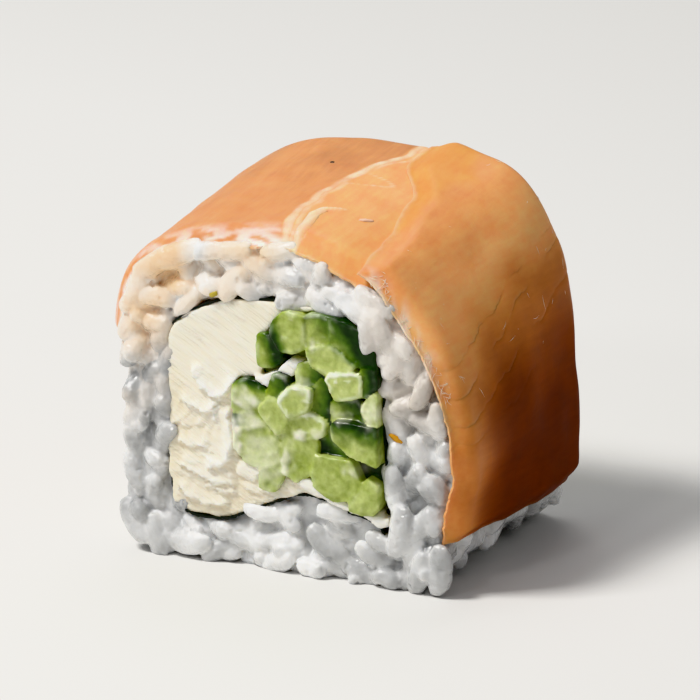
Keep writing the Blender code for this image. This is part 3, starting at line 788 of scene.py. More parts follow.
def rice_core(name):
    """The mass of rice behind the grains that show."""
    inset, inset_under_fish = 0.9 * MM, 0.05 * MM
    rows = 13
    reach = ROLL_LENGTH / 2 - CORE_RECESS
    bpy.ops.object.select_all(action="DESELECT")
    bpy.ops.mesh.primitive_cylinder_add(vertices=LOOP_POINTS, radius=1.0, depth=2.0, end_fill_type="NGON")
    piece = named(name)
    bpy.ops.object.mode_set(mode="EDIT")
    bpy.ops.mesh.select_mode(type="EDGE")
    bpy.ops.mesh.select_all(action="DESELECT")
    bpy.ops.object.mode_set(mode="OBJECT")
    for edge in piece.data.edges:
        low, high = (piece.data.vertices[i].co.z for i in edge.vertices)
        edge.select = low != high
    bpy.ops.object.mode_set(mode="EDIT")
    bpy.ops.mesh.subdivide_edgering(number_cuts=rows - 2, interpolation="LINEAR")
    bpy.ops.object.mode_set(mode="OBJECT")
    for vert in piece.data.vertices:
        turn = math.atan2(vert.co.y, -vert.co.x) / math.tau
        t = len(RICE_FRONT) * turn
        t += len(RICE_FRONT) if t < 0.0 else 0.0
        covered = smooth((t - LEFT_FISH_START[0] + 0.5) / 0.5) * smooth((RIGHT_FISH_END[0] + 0.3 - t) / 0.5)
        vert.co = on_roll(t, vert.co.z * reach, -mix(inset, inset_under_fish, covered))
    face_outwards()
    hole = even_loop(NORI_LOOP, LOOP_POINTS, 0.18 * MM)
    cut_with(piece, "DIFFERENCE", prism("rice_hole", hole, ROLL_LENGTH))
    return piece


def nearest_grains(points, grains, half):
    """For each point, the tone of the grain that it lies on, and how far the next grain is."""
    reach, far = 4.2 * MM, 9.0
    best = np.full(len(points), far)
    second = np.full(len(points), far)
    tone = np.full(len(points), 0.5)
    for grain in grains:
        away = points - np.array(grain.middle)
        near = np.nonzero((away ** 2).sum(axis=1) < reach ** 2)[0]
        local = away[near] @ np.array(grain.turn) / (np.array(half) * grain.scale)
        distance = np.sqrt((local ** 2).sum(axis=1))
        closer = distance < best[near]
        second[near] = np.where(closer, best[near], np.minimum(second[near], distance))
        best[near] = np.where(closer, distance, best[near])
        tone[near] = np.where(closer, grain.tone, tone[near])
    return tone, np.clip((second - best) / 0.4, 0.0, 1.0)


def make_rice(context):
    sizes = context.scene.roll_sizes
    draw = random.Random(RICE_SEED)
    shapes, half = grain_shapes(sizes, draw)
    grains = []
    for side in (-1, 1):
        grains += face_grains(draw, side, half, sizes.grain_spacing)
    grains += side_grains(draw, half, sizes.grain_spacing)
    singles = [Grain(Vector(middle) * MM, Vector(axis), Vector((0.0, -1.0, 0.0)), scale, 0.7)
               for middle, axis, scale in SINGLE_GRAINS + CORNER_LUMP]
    grains = singles + grains
    placed = [rice_core("core")] + [copy_of(draw.choice(shapes), grain.matrix()) for grain in grains]
    # A second layer shows between the grains of the first
    for side in (-1, 1):
        behind = face_grains(draw, side, half, sizes.grain_spacing, SECOND_LAYER)
        placed += [copy_of(draw.choice(shapes), grain.matrix()) for grain in behind]
        grains += behind
    for shape in shapes:
        bpy.data.objects.remove(shape)
    rice = join("rice_grains", placed)
    modify(rice, "REMESH", mode="VOXEL", voxel_size=sizes.rice_voxel, adaptivity=0.0)
    modify(rice, "SMOOTH", factor=0.4, iterations=1)
    points = points_of(rice)
    uneven = np.array([noise_at(*p, 1.6 * MM) + 0.3 * noise_at(*p, 0.8 * MM) for p in points])
    # Small pits where a bubble or a gap shows
    pits = np.clip(np.array([noise_at(*(p + 0.05), 0.8 * MM) for p in points]) - 0.45, 0.0, 0.3)
    points += points_of(rice, "normal") * ((uneven * 0.05 - pits * 0.8) * MM)[:, None]
    # The knife pressed the cut faces flat
    proud = np.abs(points[:, 1]) - ROLL_LENGTH / 2 - 0.05 * MM
    points[:, 1] -= np.sign(points[:, 1]) * np.clip(proud, 0.0, None) * 0.4
    points[:, 2] = np.maximum(points[:, 2], 0.0)
    set_points(rice, points)
    modify(rice, "DECIMATE", ratio=min(1.0, RICE_POINTS / len(points)))
    points = points_of(rice)
    tone, clear = nearest_grains(points, grains, half)
    cloud = np.array([noise_at(*(p + 0.02), 3.5 * MM) for p in points])
    # Painted shade: greyer at the sides of the front face, and lower down on the right
    side = np.clip((np.abs(points[:, 0] / MM) - 10.5) / 3.0, 0.0, 1.0) * np.clip(
        (np.where(points[:, 0] > 0.0, 19.0, 30.0) - points[:, 2] / MM) / 8.0, 0.0, 1.0)
    # Painted light: brighter and warmer at the upper left, beside the left slice
    painted_light_upper_left = np.clip((-points[:, 0] + 1.3 * points[:, 2] - 34.0 * MM) / (16.0 * MM), 0.0, 1.0)
    # Painted light from the right slice: warmer and a little darker at the upper right
    painted_light_upper_right = 0.15 * np.clip((points[:, 0] - 7.0 * MM) / (3.0 * MM), 0.0, 1.0) * np.clip(
        (points[:, 2] - 15.0 * MM) / (5.0 * MM), 0.0, 1.0)
    front = np.clip(-points[:, 1] / (4.0 * MM) - 2.0, 0.0, 1.0)
    # Whiter where grains meet: partly starch, partly a painted highlight on their wet edges
    paint(rice, "tone", 0.56 + 0.6 * (tone - 0.5) + 0.3 * (1.0 - clear) + 0.45 * cloud - 0.35 * side * front
          + 0.4 * painted_light_upper_left - painted_light_upper_right)
    # The warm tint from the fish is painted light
    painted_fish_light = painted_light_upper_left * (0.5 + 0.9 * cloud + 0.5 * (tone - 0.5)) + 1.5 * painted_light_upper_right
    paint(rice, "warm", np.clip(painted_fish_light, 0.0, 1.0))
    smooth_shading(rice)
    settle(rice, "rice", rice_material())


# ---- Nori --------------------------------------------------------------------------------------------------


def make_nori(context):
    columns, rows = 480, 24
    ends = 0.12

    def place(u, v):
        t = ends + (len(NORI_LOOP) - 2 * ends) * u
        point, ahead = spline(NORI_LOOP, t) * MM, spline(NORI_LOOP, t + 0.05) - spline(NORI_LOOP, t - 0.05)
        outward = Vector((-ahead.y, ahead.x)).normalized()
        side = 2.0 * v - 1.0
        # The left side and most of the top lie under rice and cheese
        left = smooth((-point.x / MM - 11.0) / 2.0) * smooth((25.6 - point.y / MM) / 1.4)
        top = smooth((point.y / MM - 27.2) / 0.8) * smooth((point.x / MM + 8.5) / 1.5)
        right = smooth((point.x / MM - 8.5) / 1.5) * smooth((point.y / MM - 8.0) / 2.0)
        uneven = 0.3 * MM * noise_at(u * 60.0, side, 3.0)
        y = side * (ROLL_LENGTH / 2 - 0.1 * MM - 1.0 * MM * max(left, 0.7 * top, 0.4 * right, 0.25) + uneven)
        crinkle = 0.13 * MM * noise_at(u * 140.0, v * 14.0, 9.0)
        point += outward * crinkle
        return Vector((point.x, y, point.y + filling_rise(y)))

    nori = sheet_of("nori_sheet", columns, rows, place)
    modify(nori, "SOLIDIFY", thickness=context.scene.roll_sizes.nori_thickness, offset=0.0)
    smooth_shading(nori, 40)
    settle(nori, "nori", nori_material())


# ---- Cream cheese ------------------------------------------------------------------------------------------

# Cheese that the knife drew over the cucumber: outline (x, z) on the front cut, and how far it stands out
SMEARS = (
    (((-0.6, 22.6), (0.3, 23.3), (1.5, 23.1), (1.9, 22.6), (1.0, 22.1), (0.3, 21.2),
      (-0.6, 21.4), (-1.2, 21.7)), 0.35),
    (((-4.2, 20.5), (-2.7, 21.0), (-0.8, 21.6), (-1.7, 20.9), (-2.3, 19.6), (-2.8, 19.7)), 0.4),
    (((0.0, 13.9), (0.5, 13.5), (0.1, 11.9), (-0.3, 10.4), (-1.2, 10.5), (-0.7, 12.3)), 0.45),
    (((-6.3, 18.3), (-5.3, 18.9), (-3.6, 17.9), (-3.4, 16.9), (-5.0, 16.4), (-6.3, 16.6)), 0.45),
    (((0.3, 10.4), (1.6, 10.9), (3.2, 10.0), (4.9, 8.8), (4.0, 8.4), (1.5, 9.3)), 0.4),
    (((-5.8, 11.4), (-3.2, 11.6), (-2.9, 10.4), (-3.6, 9.6), (-5.9, 9.4)), 0.3),
    (((3.2, 9.7), (5.5, 8.8), (7.3, 8.3), (9.2, 7.8), (10.6, 7.4), (11.4, 7.5), (11.4, 6.5), (10.6, 6.3),
      (9.0, 6.9), (7.0, 7.5), (5.0, 8.0), (3.4, 8.6)), 0.5),
)
# What the cheese leaves for the cucumber: it laps over the uppermost sticks
CHEESE_ROOM = (
    (13.0, 7.7), (9.4, 8.3), (6.2, 9.5), (3.0, 10.5), (-0.4, 10.2), (-3.6, 10.2), (-5.7, 11.6), (-5.9, 15.3),
    (-5.4, 16.7), (-5.9, 18.2), (-5.9, 20.2), (-3.6, 20.6), (-2.8, 22.0), (-2.8, 25.2), (-1.7, 26.6),
    (-0.6, 27.8), (1.0, 28.1), (2.5, 28.4), (4.0, 29.0), (6.0, 31.0), (13.0, 31.0),
)
SMEAR_ROOT = 1.3 * MM       # how far behind the cut a smear starts
RELIEF_DEPTH = 1.6 * MM     # how far behind the cut the knife's relief starts
# Steps that the knife tore: points (x, z), with the raised side on the left, height and width
LEDGES = (
    (((-10.9, 20.2), (-10.0, 18.6), (-8.5, 17.8), (-7.3, 17.9), (-6.6, 18.7), (-5.9, 19.8)), 0.65, 0.9),
    (((-11.9, 16.7), (-10.5, 16.2), (-9.2, 15.9), (-8.3, 16.4)), 0.6, 0.9),
    (((-12.2, 12.4), (-10.8, 12.0), (-9.4, 12.4)), 0.45, 1.0),
    (((-11.9, 9.7), (-10.0, 8.9), (-8.2, 8.5), (-6.6, 8.6)), 0.5, 1.5),
    (((-12.3, 7.2), (-11.0, 6.4), (-9.2, 6.0), (-7.4, 6.2)), 0.5, 1.1),
    (((-8.6, 10.1), (-7.3, 10.5), (-6.4, 11.4), (-6.1, 13.1), (-6.3, 14.5), (-6.5, 16.4)), 0.65, 1.8),
    (((-8.0, 15.6), (-8.3, 16.8), (-7.7, 17.4)), 0.45, 0.5),
    (((-8.9, 8.0), (-7.8, 7.4), (-6.4, 7.6)), 0.4, 0.7),
    (((-13.0, 14.3), (-11.6, 14.0), (-10.0, 14.5)), 0.25, 0.8),
    (((-4.9, 8.6), (-3.6, 8.0), (-2.2, 8.4)), 0.3, 0.8),
)


def ledge(x, z, points, height, width):
    """How far a torn step raises the spot (x, z), all in millimetres."""
    spot = Vector((x, z))
    nearest = None
    for index, (here, there) in enumerate(zip(points, points[1:])):
        here, there = Vector(here), Vector(there)
        run = there - here
        share = (spot - here).dot(run) / run.length_squared
        held = min(max(share, 0.0), 1.0)
        away = spot - here.lerp(there, held)
        if nearest is None or away.length < nearest[0]:
            first, last = index == 0, index == len(points) - 2
            past = max(-share if first else 0.0, share - 1.0 if last else 0.0, 0.0) * run.length
            nearest = (away.length, run.x * away.y - run.y * away.x > 0.0, past)
    distance, raised, past = nearest
    if not raised:
        return 0.0
    return height * smooth(distance / 0.25 + 0.2) * math.exp(-(distance / width) ** 1.4) * smooth(1.0 - past)


def cheese_relief(x, z):
    """How far the cut face stands out: smears that run down to the right, torn into steps. Millimetres."""
    slow = noise_at(x / 6.0, z / 6.0, 0.0)
    ragged = 0.35 * noise_at(x, z * 1.6, 6.0) + 0.2 * noise_at(x * 2.6, z * 2.6, 2.0)
    steps = sum(ledge(x + ragged, z + ragged, *entry) for entry in LEDGES)
    fall = math.radians(30.0 - 16.0 * smooth((17.0 - z) / 5.0))
    across = x * math.sin(fall) + z * math.cos(fall)
    lengthways = x * math.cos(fall) - z * math.sin(fall)
    # Shingles of cheese, long along the knife's way and each raised at its lower edge
    torn = 0.45 + 0.55 * smooth((18.5 - z) / 4.0)
    row = across / 0.85 + 1.1 * noise_at(lengthways / 2.8, across / 1.2, 9.0)
    each = noise_at(lengthways / 1.9, math.floor(row) * 3.7, 4.0)
    shingle = 0.2 * torn * (0.5 + each) * (1.0 - row % 1.0) ** 2
    stripes = 0.13 * noise_at(lengthways / 3.0, across / 0.25, 1.0)
    return steps + shingle + stripes + 0.22 * slow


def make_cheese(context):
    sizes = context.scene.roll_sizes
    face = ROLL_LENGTH / 2
    middle = Vector((-1.0, 17.0)) * MM
    ragged = [point + (point - middle).normalized() * MM * (0.35 * noise_at(*point, 0.003, 1.3 * MM) + 0.02)
              for point in filling_loop(0.1 * MM)]
    block = prism("cheese", ragged, face - 0.1 * MM)
    cut_with(block, "DIFFERENCE", prism("room", [Vector(point) * MM for point in CHEESE_ROOM], ROLL_LENGTH))
    lumps = [block]
    for loop, out in SMEARS:
        outline = []
        for point in softened(brought_out(loop, out), (0.25, 0.25, 0.25)):
            astray = Vector([noise_at(*point, seed, 1.1 * MM) for seed in (0.1, 0.2)])
            outline.append(point + astray * 0.35 * MM)
        lumps.append(prism("smear", outline, SMEAR_ROOT - face, -out * MM - face))
        lumps.append(prism("smear", outline, face + out * MM, face - SMEAR_ROOT))
    cheese = join("cheese_smeared", lumps)
    modify(cheese, "REMESH", mode="VOXEL", voxel_size=sizes.cheese_voxel, adaptivity=0.0)
    modify(cheese, "SMOOTH", factor=0.5, iterations=1)
    points = points_of(cheese)
    relief = np.zeros(len(points))
    for i, (x, y, z) in enumerate(points):
        near = smooth((abs(y) - face + RELIEF_DEPTH) / (1.3 * MM))
        if near > 0.0:
            relief[i] = near * (cheese_relief(x / MM, (z - filling_rise(y)) / MM) - 0.3) * MM
    points[:, 1] += np.sign(points[:, 1]) * relief
    set_points(cheese, points)
    # Painted light and shade: brighter in its upper part and where it stands out, darker in its hollows
    painted_top_light = eased((points[:, 2] / MM - 15.0) / 8.0)
    paint(cheese, "relief", 0.6 + 0.45 * painted_top_light + (np.abs(points[:, 1]) - face) / (0.7 * MM))
    smooth_shading(cheese)
    settle(cheese, "cream_cheese", cheese_material())


# ---- Cucumber ----------------------------------------------------------------------------------------------

# Sticks of cucumber as they show on the front cut: outline (x, z), how far the end stands out, how pale its
# flesh is, how strong the painted highlight on its wet edges is, and its skin: the way that it faces in
# degrees from +X, how far in from there its dark green gives out, and how far in the flesh is at its palest
STICKS = (
    (((-1.7, 26.9), (-0.8, 27.9), (0.1, 28.2), (1.6, 27.9), (2.0, 26.3), (2.0, 24.5), (1.1, 23.9),
      (-0.4, 23.8), (-1.0, 24.0), (-2.0, 25.7)), 0.45, 0.55, 0.35, (205, 0.1, 1.8)),
    (((-3.4, 25.4), (-2.0, 25.5), (-0.8, 24.0), (-0.4, 22.9), (-1.5, 22.0), (-3.4, 21.9)), 0.0, 0.3, 0.2,
      (20, 0.6, 2.4)),
    (((1.6, 27.9), (4.4, 28.9), (5.2, 28.3), (5.0, 25.2), (2.8, 24.6), (2.0, 24.6),
      (2.0, 26.3)), 0.15, 0.45, 0.4, (50, -0.4, 3.5)),
    (((4.4, 28.9), (7.2, 28.7), (9.0, 27.8), (10.6, 26.2), (10.6, 23.3), (8.1, 23.3), (5.1, 24.5),
      (5.0, 27.2)), 0.35, 0.5, 0.1, (38, 1.9, 4.8)),
    (((2.0, 24.5), (5.0, 25.3), (8.1, 23.4), (6.4, 22.7), (4.3, 22.1), (2.8, 22.8)), 0.5, 0.85, 0.2,
      (55, -0.5, 1.0)),
    (((4.3, 21.6), (4.9, 22.3), (8.3, 22.7), (8.4, 20.2), (5.4, 19.3), (4.8, 20.5)), 0.75, 0.95, 1.0, None),
    (((8.3, 23.1), (9.6, 23.4), (10.6, 22.4), (10.2, 21.4), (8.8, 20.3), (8.3, 20.2)), 0.5, 0.3, 0.1,
      (0, 0.8, 2.6)),
    (((5.1, 19.3), (8.1, 20.1), (9.3, 17.6), (5.4, 17.2), (5.2, 18.3)), 0.0, 0.5, 0.2, (55, 0.3, 3.2)),
    (((8.4, 19.4), (10.1, 20.9), (10.8, 19.0), (10.7, 17.4), (9.3, 17.4), (8.5, 18.6)), 0.45, 1.0, 0.45,
      None),
    (((5.1, 16.9), (5.5, 17.3), (10.7, 17.1), (11.1, 12.9), (7.2, 13.8), (5.1, 15.1)), 0.8, 0.65, 0.1,
      (82, 0.2, 2.8)),
    (((3.5, 15.4), (5.0, 16.8), (5.2, 15.0), (7.3, 13.9), (7.0, 13.2), (5.1, 13.1),
      (3.2, 13.3)), -0.35, 0.1, 0.15, (230, 1.4, 4.4)),
    (((7.1, 13.5), (11.1, 13.1), (11.2, 10.2), (9.3, 11.2), (8.3, 10.7)), -1.1, 0.0, 0.0, (45, 8.0, 12.0)),
    (((3.2, 13.3), (5.1, 13.2), (7.3, 13.2), (8.4, 10.8), (7.3, 9.0), (5.1, 8.5), (3.2, 9.6),
      (2.7, 11.2)), 0.45, 0.6, 0.15, None),
    (((9.1, 11.6), (11.0, 10.6), (11.1, 8.8), (9.9, 7.7), (8.6, 7.6), (7.2, 7.9), (7.1, 8.9),
      (8.4, 10.8)), 0.4, 0.7, 0.12, None),
    (((0.3, 20.4), (2.8, 20.2), (2.3, 17.8), (0.1, 16.9), (-1.2, 18.4)), 0.85, 0.85, 1.0, None),
    (((-3.4, 17.3), (-2.1, 18.6), (-1.2, 18.5), (0.1, 16.9), (-0.4, 15.3),
      (-1.3, 14.9)), 0.55, 0.8, 0.2, None),
    (((-1.5, 21.5), (0.0, 21.2), (0.4, 20.2), (-1.2, 18.6), (-2.4, 19.0)), 0.2, 0.2, 0.4, (20, 0.3, 3.4)),
    (((-6.2, 19.6), (-5.0, 20.4), (-3.1, 20.2), (-2.3, 19.0), (-3.5, 17.0), (-6.2, 16.7)), 0.15, 0.5, 0.3,
      (80, 0.1, 1.5)),
    (((2.8, 20.3), (4.3, 21.8), (5.2, 19.3), (5.2, 16.8), (3.6, 16.8), (2.2, 17.6),
      (2.5, 19.2)), -0.1, 0.2, 0.1, (350, 0.3, 3.6)),
    (((1.2, 22.8), (2.4, 23.2), (4.3, 22.3), (4.4, 21.5), (2.8, 20.0), (1.0, 20.3)), 0.1, 0.4, 0.2,
      (350, 0.2, 3.2)),
    (((0.0, 16.5), (2.3, 17.8), (4.4, 17.0), (4.1, 15.3), (1.7, 14.8)), 0.4, 0.7, 0.7, None),
    (((-6.0, 14.6), (-2.6, 15.8), (-0.4, 14.4), (-0.6, 12.6), (-1.5, 11.2), (-4.4, 11.1),
      (-6.0, 12.7)), 0.1, 0.65, 0.2, None),
    (((-0.5, 15.4), (0.2, 16.6), (1.7, 15.3), (3.5, 15.6), (3.4, 13.3), (2.8, 11.1), (1.1, 10.1),
      (-0.7, 11.0)), 0.15, 0.55, 0.1, None),
    (((-3.2, 10.9), (-1.0, 11.4), (-0.4, 10.2), (-1.4, 8.6), (-3.2, 8.9)), 0.2, 0.5, 0.1, None),
    (((-6.1, 16.9), (-3.4, 17.4), (-1.3, 15.0), (-0.4, 14.3), (-2.6, 15.4), (-5.0, 14.4),
      (-6.1, 14.5)), 0.0, 0.35, 0.0, (180, 0.1, 1.8)),
)
# Thin films of cheese and juice over the cut ends: middle (x, z), half their reach each way, and strength
FILMS = (
    (-2.8, 12.2, 4.6, 4.4, 0.4), (-4.4, 16.0, 2.6, 1.6, 0.6), (-4.7, 18.3, 2.0, 1.7, 0.75),
    (-5.9, 13.8, 1.3, 4.2, 0.85), (2.0, 20.6, 1.2, 1.2, 0.5), (-0.1, 12.2, 0.7, 2.2, 0.9),
    (1.6, 15.3, 1.3, 0.8, 0.7), (3.6, 15.9, 1.0, 1.0, 0.4), (8.0, 12.4, 2.0, 1.0, 0.4),
    (2.4, 23.6, 1.1, 0.7, 0.5), (3.1, 25.2, 0.5, 1.2, 0.4), (9.6, 18.9, 1.4, 2.0, 0.5),
    (0.8, 9.6, 3.4, 1.1, 0.7), (6.4, 18.0, 1.6, 0.8, 0.25),
)
CUCUMBER_SEED = 5
CUCUMBER_POINTS = 60000     # how many its mesh keeps
FLESH_RECESS = 1.3 * MM     # how far behind the cuts the flesh between the sticks ends
PRESSED = 0.1 * MM      # how far the sticks press into each other
DEEP_END = 2.2 * MM     # below this depth nothing shows of them


def brought_out(loop, out):
    """An outline as it shows on the front cut, in metres and where it lies if it stands out of the cut."""
    aside = out * math.tan(math.radians(VIEW_AZIMUTH))
    up = out * math.tan(math.radians(VIEW_ELEVATION)) / math.cos(math.radians(VIEW_AZIMUTH))
    return [Vector((x + aside, z + up)) * MM for x, z in loop]


def softened(loop, shares=(0.12, 0.25)):
    """The loop with its corners cut."""
    for share in shares:
        loop = [point for here, there in zip(loop, loop[1:] + loop[:1])
                for point in (here.lerp(there, share), here.lerp(there, 1.0 - share))]
    return loop


def depth_in(loop, x, z):
    """How far inside the loop each spot lies, and below 0 how far outside."""
    nearest = np.full(len(x), 1.0)
    inside = np.zeros(len(x), dtype=bool)
    for here, there in zip(loop, loop[1:] + loop[:1]):
        run = there - here
        share = np.clip(((x - here.x) * run.x + (z - here.y) * run.y) / run.length_squared, 0.0, 1.0)
        nearest = np.minimum(nearest, np.hypot(x - here.x - share * run.x, z - here.y - share * run.y))
        across = here.x + (z - here.y) / (run.y or 1.0) * run.x
        inside ^= ((here.y > z) != (there.y > z)) & (x < across)
    return np.where(inside, nearest, -nearest)


def held_inside(point, limit):
    """The point, or the nearest one on the limit if it lies outside."""
    if depth_in(limit, np.array([point.x]), np.array([point.y]))[0] > 0.0:
        return point
    nearest = []
    for here, there in zip(limit, limit[1:] + limit[:1]):
        run = there - here
        nearest.append(here + run * min(max((point - here).dot(run) / run.length_squared, 0.0), 1.0))
    return min(nearest, key=lambda spot: (spot - point).length)


def stick_body(loop, out, tilt, limit):
    """One stick through the roll, its ends cut a little askew."""
    outline = [held_inside(point, limit) for point in grown(softened(brought_out(loop, out)), PRESSED)]
    middle = sum(outline, Vector((0.0, 0.0))) / len(outline)
    body = prism("stick", outline, ROLL_LENGTH / 2 + out * MM)
    for vert in body.data.vertices:
        spot = Vector((vert.co.x, vert.co.z - filling_rise(vert.co.y)))
        vert.co.y += math.copysign(tilt.dot(spot - middle), vert.co.y)
    return body, outline, middle


def eased(values):
    """Ease an array from 0 to 1."""
    values = np.clip(values, 0.0, 1.0)
    return values * values * (3.0 - 2.0 * values)


def deepened(a, b, share):
    """A colour between a and b, mixed by ratio so that it keeps rich as it darkens, for painted shade."""
    return a * (b / a) ** share


def blended(a, b, share):
    """Colours between a and b, one for each point."""
    return a * (1.0 - share[:, None]) + b * share[:, None]


def own_stick(sticks, x, z, ahead):
    """Which stick each point belongs to: the one whose end or wall it lies on."""
    far = 9.0
    best = np.full(len(x), far)
    owner = np.zeros(len(x), dtype=int)
    for index, (outline, middle, tilt, out, *_) in enumerate(sticks):
        under = out + tilt.x * (x - middle.x) / MM + tilt.y * (z - middle.y) / MM - ahead
        beside = np.maximum(-depth_in(outline, x, z) / MM, 0.0)
        # A point beside the stick fits it least, one behind its end lies on its wall
        misfit = 3.0 * beside + np.where(under > 0.0, 0.4 * under, -1.5 * under)
        owner[misfit < best] = index
        best = np.minimum(best, misfit)
    return owner


def colour_sticks(piece, sticks, shades):
    """Each stick's flesh from its dark skin inwards, painted highlights on wet edges, painted shade deep in,
    films, a torn surface.
    """
    points = points_of(piece)
    x, z = points[:, 0], points[:, 2] - filling_rise(points[:, 1])
    ahead = (np.abs(points[:, 1]) - ROLL_LENGTH / 2) / MM
    # The back cut has patches of its own
    back = np.where(points[:, 1] > 0.0, 40.0, 0.0)
    fine, slow, patch = (
        np.array([noise_at(px / MM, pz / MM, side, scale) for px, pz, side in zip(x, z, back)])
        for scale in (0.7, 1.9, 1.1)
    )
    owner = own_stick(sticks, x, z, ahead)
    shade = np.tile(shades["skin"], (len(points), 1))
    white = np.zeros(len(points))
    for index, (outline, middle, tilt, out, pale, wet, skin) in enumerate(sticks):
        own = np.nonzero(owner == index)[0]
        px, pz = x[own], z[own]
        flesh = blended(shades["flesh_green"], shades["flesh_pale"],
                        np.clip(pale + 0.3 * slow[own] + 0.2 * fine[own], 0.0, 1.0))
        if skin:
            turn, dark, light = skin
            way = Vector((math.cos(math.radians(turn)), math.sin(math.radians(turn))))
            inwards = (max(way.dot(point) for point in outline) - way.x * px - way.y * pz) / MM
            share = (inwards + 0.5 * slow[own] + 0.25 * fine[own] - dark) / (light - dark)
            under_skin = blended(shades["skin"], shades["flesh_olive"], eased(share / 0.4))
            flesh = blended(under_skin, flesh, eased((share - 0.2) / 0.8))
        inside = depth_in(outline, px, pz) / MM
        aside, up = px - middle.x, pz - middle.y
        # Painted highlights: wet edges painted white, most where they face up and left, with glints along
        # them
        lit = 0.35 + 0.65 * eased(0.5 + 0.9 * (up - 0.5 * aside) / np.maximum(np.hypot(aside, up), 1e-6))
        width = 0.4 + 0.3 * patch[own]
        rim = lit * eased(1.0 - np.abs(inside - 0.2) / width) * eased(0.3 + 2.6 * slow[own] + 0.5 * wet)
        painted_glint = eased((fine[own] - 0.4) / 0.25) * 0.5
        on_end = eased((ahead[own] - out) / 0.5 + 1.6)
        white[own] = wet * on_end * np.clip(1.2 * rim + painted_glint, 0.0, 1.0)
        shade[own] = blended(flesh, shades["wet_edge"], 0.95 * white[own])
    # Painted shade: what lies deep behind the cut, between the sticks, is painted the dark skin colour
    deep = eased((-ahead - 0.9) / 0.8)
    paint_colour(piece, "flesh", blended(shade, shades["skin"], deep))
    film = np.zeros(len(points))
    for fx, fz, half_x, half_z, strength in FILMS:
        away = np.hypot((x / MM - fx) / half_x, (z / MM - fz) / half_z)
        film = np.maximum(film, strength * eased(1.3 * (1.0 - away) + 0.5 * patch + 0.3 * fine))
    film *= 1.0 - deep
    paint(piece, "film", film)
    # What is wet or filmed stands out a little, and no cut is quite flat
    raised = 0.06 * fine + 0.12 * slow + 0.1 * white + 0.22 * film
    at_cut = eased((ahead + 1.2) / 0.8) * MM
    points[:, 1] += np.sign(points[:, 1]) * raised * at_cut
    # Torn rather than sharp edges
    for axis, seed in ((0, 31.0), (2, 47.0)):
        points[:, axis] += 0.1 * at_cut * np.array([noise_at(px, pz, side * MM + seed, 0.7 * MM)
                                                    for px, pz, side in zip(x, z, back)])
    set_points(piece, points)


def make_cucumber(context):
    sizes = context.scene.roll_sizes
    draw = random.Random(CUCUMBER_SEED)
    shades = shades_of("flesh_pale", "flesh_green", "flesh_olive", "skin", "wet_edge")
    limit = filling_loop(0.2 * MM)
    bodies, sticks = [], []
    for loop, out, *looks in STICKS:
        tilt = Vector((draw.gauss(0.0, 0.07), draw.gauss(0.03, 0.07)))
        body, outline, middle = stick_body(loop, out, tilt, limit)
        bodies.append(body)
        sticks.append((outline, middle, tilt, out, *looks))
    room = [Vector(point) * MM for point in CUCUMBER_ZONE]
    core = prism("pressed_flesh", grown(room, -0.3 * MM), ROLL_LENGTH / 2 - FLESH_RECESS)
    cut_with(core, "INTERSECT", prism("limit", filling_loop(0.35 * MM), ROLL_LENGTH))
    cucumber = join("cucumber_sticks", bodies + [core])
    modify(cucumber, "REMESH", mode="VOXEL", voxel_size=sizes.cucumber_voxel, adaptivity=0.0)
    modify(cucumber, "SMOOTH", factor=0.5, iterations=1)
    # Only what lies deep between the cuts gets fewer faces
    hidden = cucumber.vertex_groups.new(name="hidden")
    count = len(cucumber.data.vertices)
    hidden.add([vert.index for vert in cucumber.data.vertices if abs(vert.co.y) < ROLL_LENGTH / 2 - DEEP_END],
               1.0, "REPLACE")
    modify(cucumber, "DECIMATE", ratio=min(1.0, CUCUMBER_POINTS / count), vertex_group=hidden.name,
           vertex_group_factor=10.0)
    colour_sticks(cucumber, sticks, shades)
    smooth_shading(cucumber)
    settle(cucumber, "cucumber", cucumber_material())


# ---- Fish --------------------------------------------------------------------------------------------------


CLING = 0.3 * MM            # how much lower a slice lies at its rim
CLING_WIDTH = 2.4 * MM
THIN_RIM = 0.22             # the share of its thickness that is left there
THIN_RIM_WIDTH = 2.2 * MM
SHOULDER = 12.8             # where the right slice turns down, counted in points of the rice outline
STRAND_SEED = 8


def fish_wave(t, y):
    """Slow waves, the same in both slices so that they stay clear of each other."""
    return FISH_WAVE * (1.0 + noise_at(t * 0.9, y / (7.0 * MM), 3.0))


def fish_rim(t, side, seed):
    """Where a slice's cut rim lies along the roll."""
    uneven = 0.55 * MM * noise_at(t * 1.7, seed, 0.0)
    return side * (ROLL_LENGTH / 2 - 0.35 * MM) + uneven


def fish_tear(t, side, seed):
    """How far the rim itself is frayed."""
    return 0.2 * MM * noise_at(t * 6.0, seed, side) + 0.12 * MM * noise_at(t * 17.0, seed, side + 5.0)


def clinging(to_rim):
    """How much lower a slice lies near its rim, where it clings to the rice."""
    return CLING * (1.0 - smooth(to_rim / CLING_WIDTH))


def ridge(distance, width):
    """A rounded line's height, from 1 on it to 0 at its width."""
    return smooth(1.0 - abs(distance) / width)


def grain_print(t, y):
    """The rice under the fish shows as faint lumps about 3 mm across."""
    return 0.08 * MM * noise_at(t * 1.9, y / (3.2 * MM), 1.0)


def over_left_slice(t, y):
    """How far the right slice rides up where the left one lies under it."""
    under = along(LEFT_FISH_END, y)
    # It comes down faster at the cuts
    ramp = mix(1.2, 1.8, smooth((ROLL_LENGTH / 2 - abs(y)) / (6.0 * MM)))
    return (LEFT_FISH_THICKNESS + GAP) * (1.0 - smooth((t - under + 0.3) / ramp))


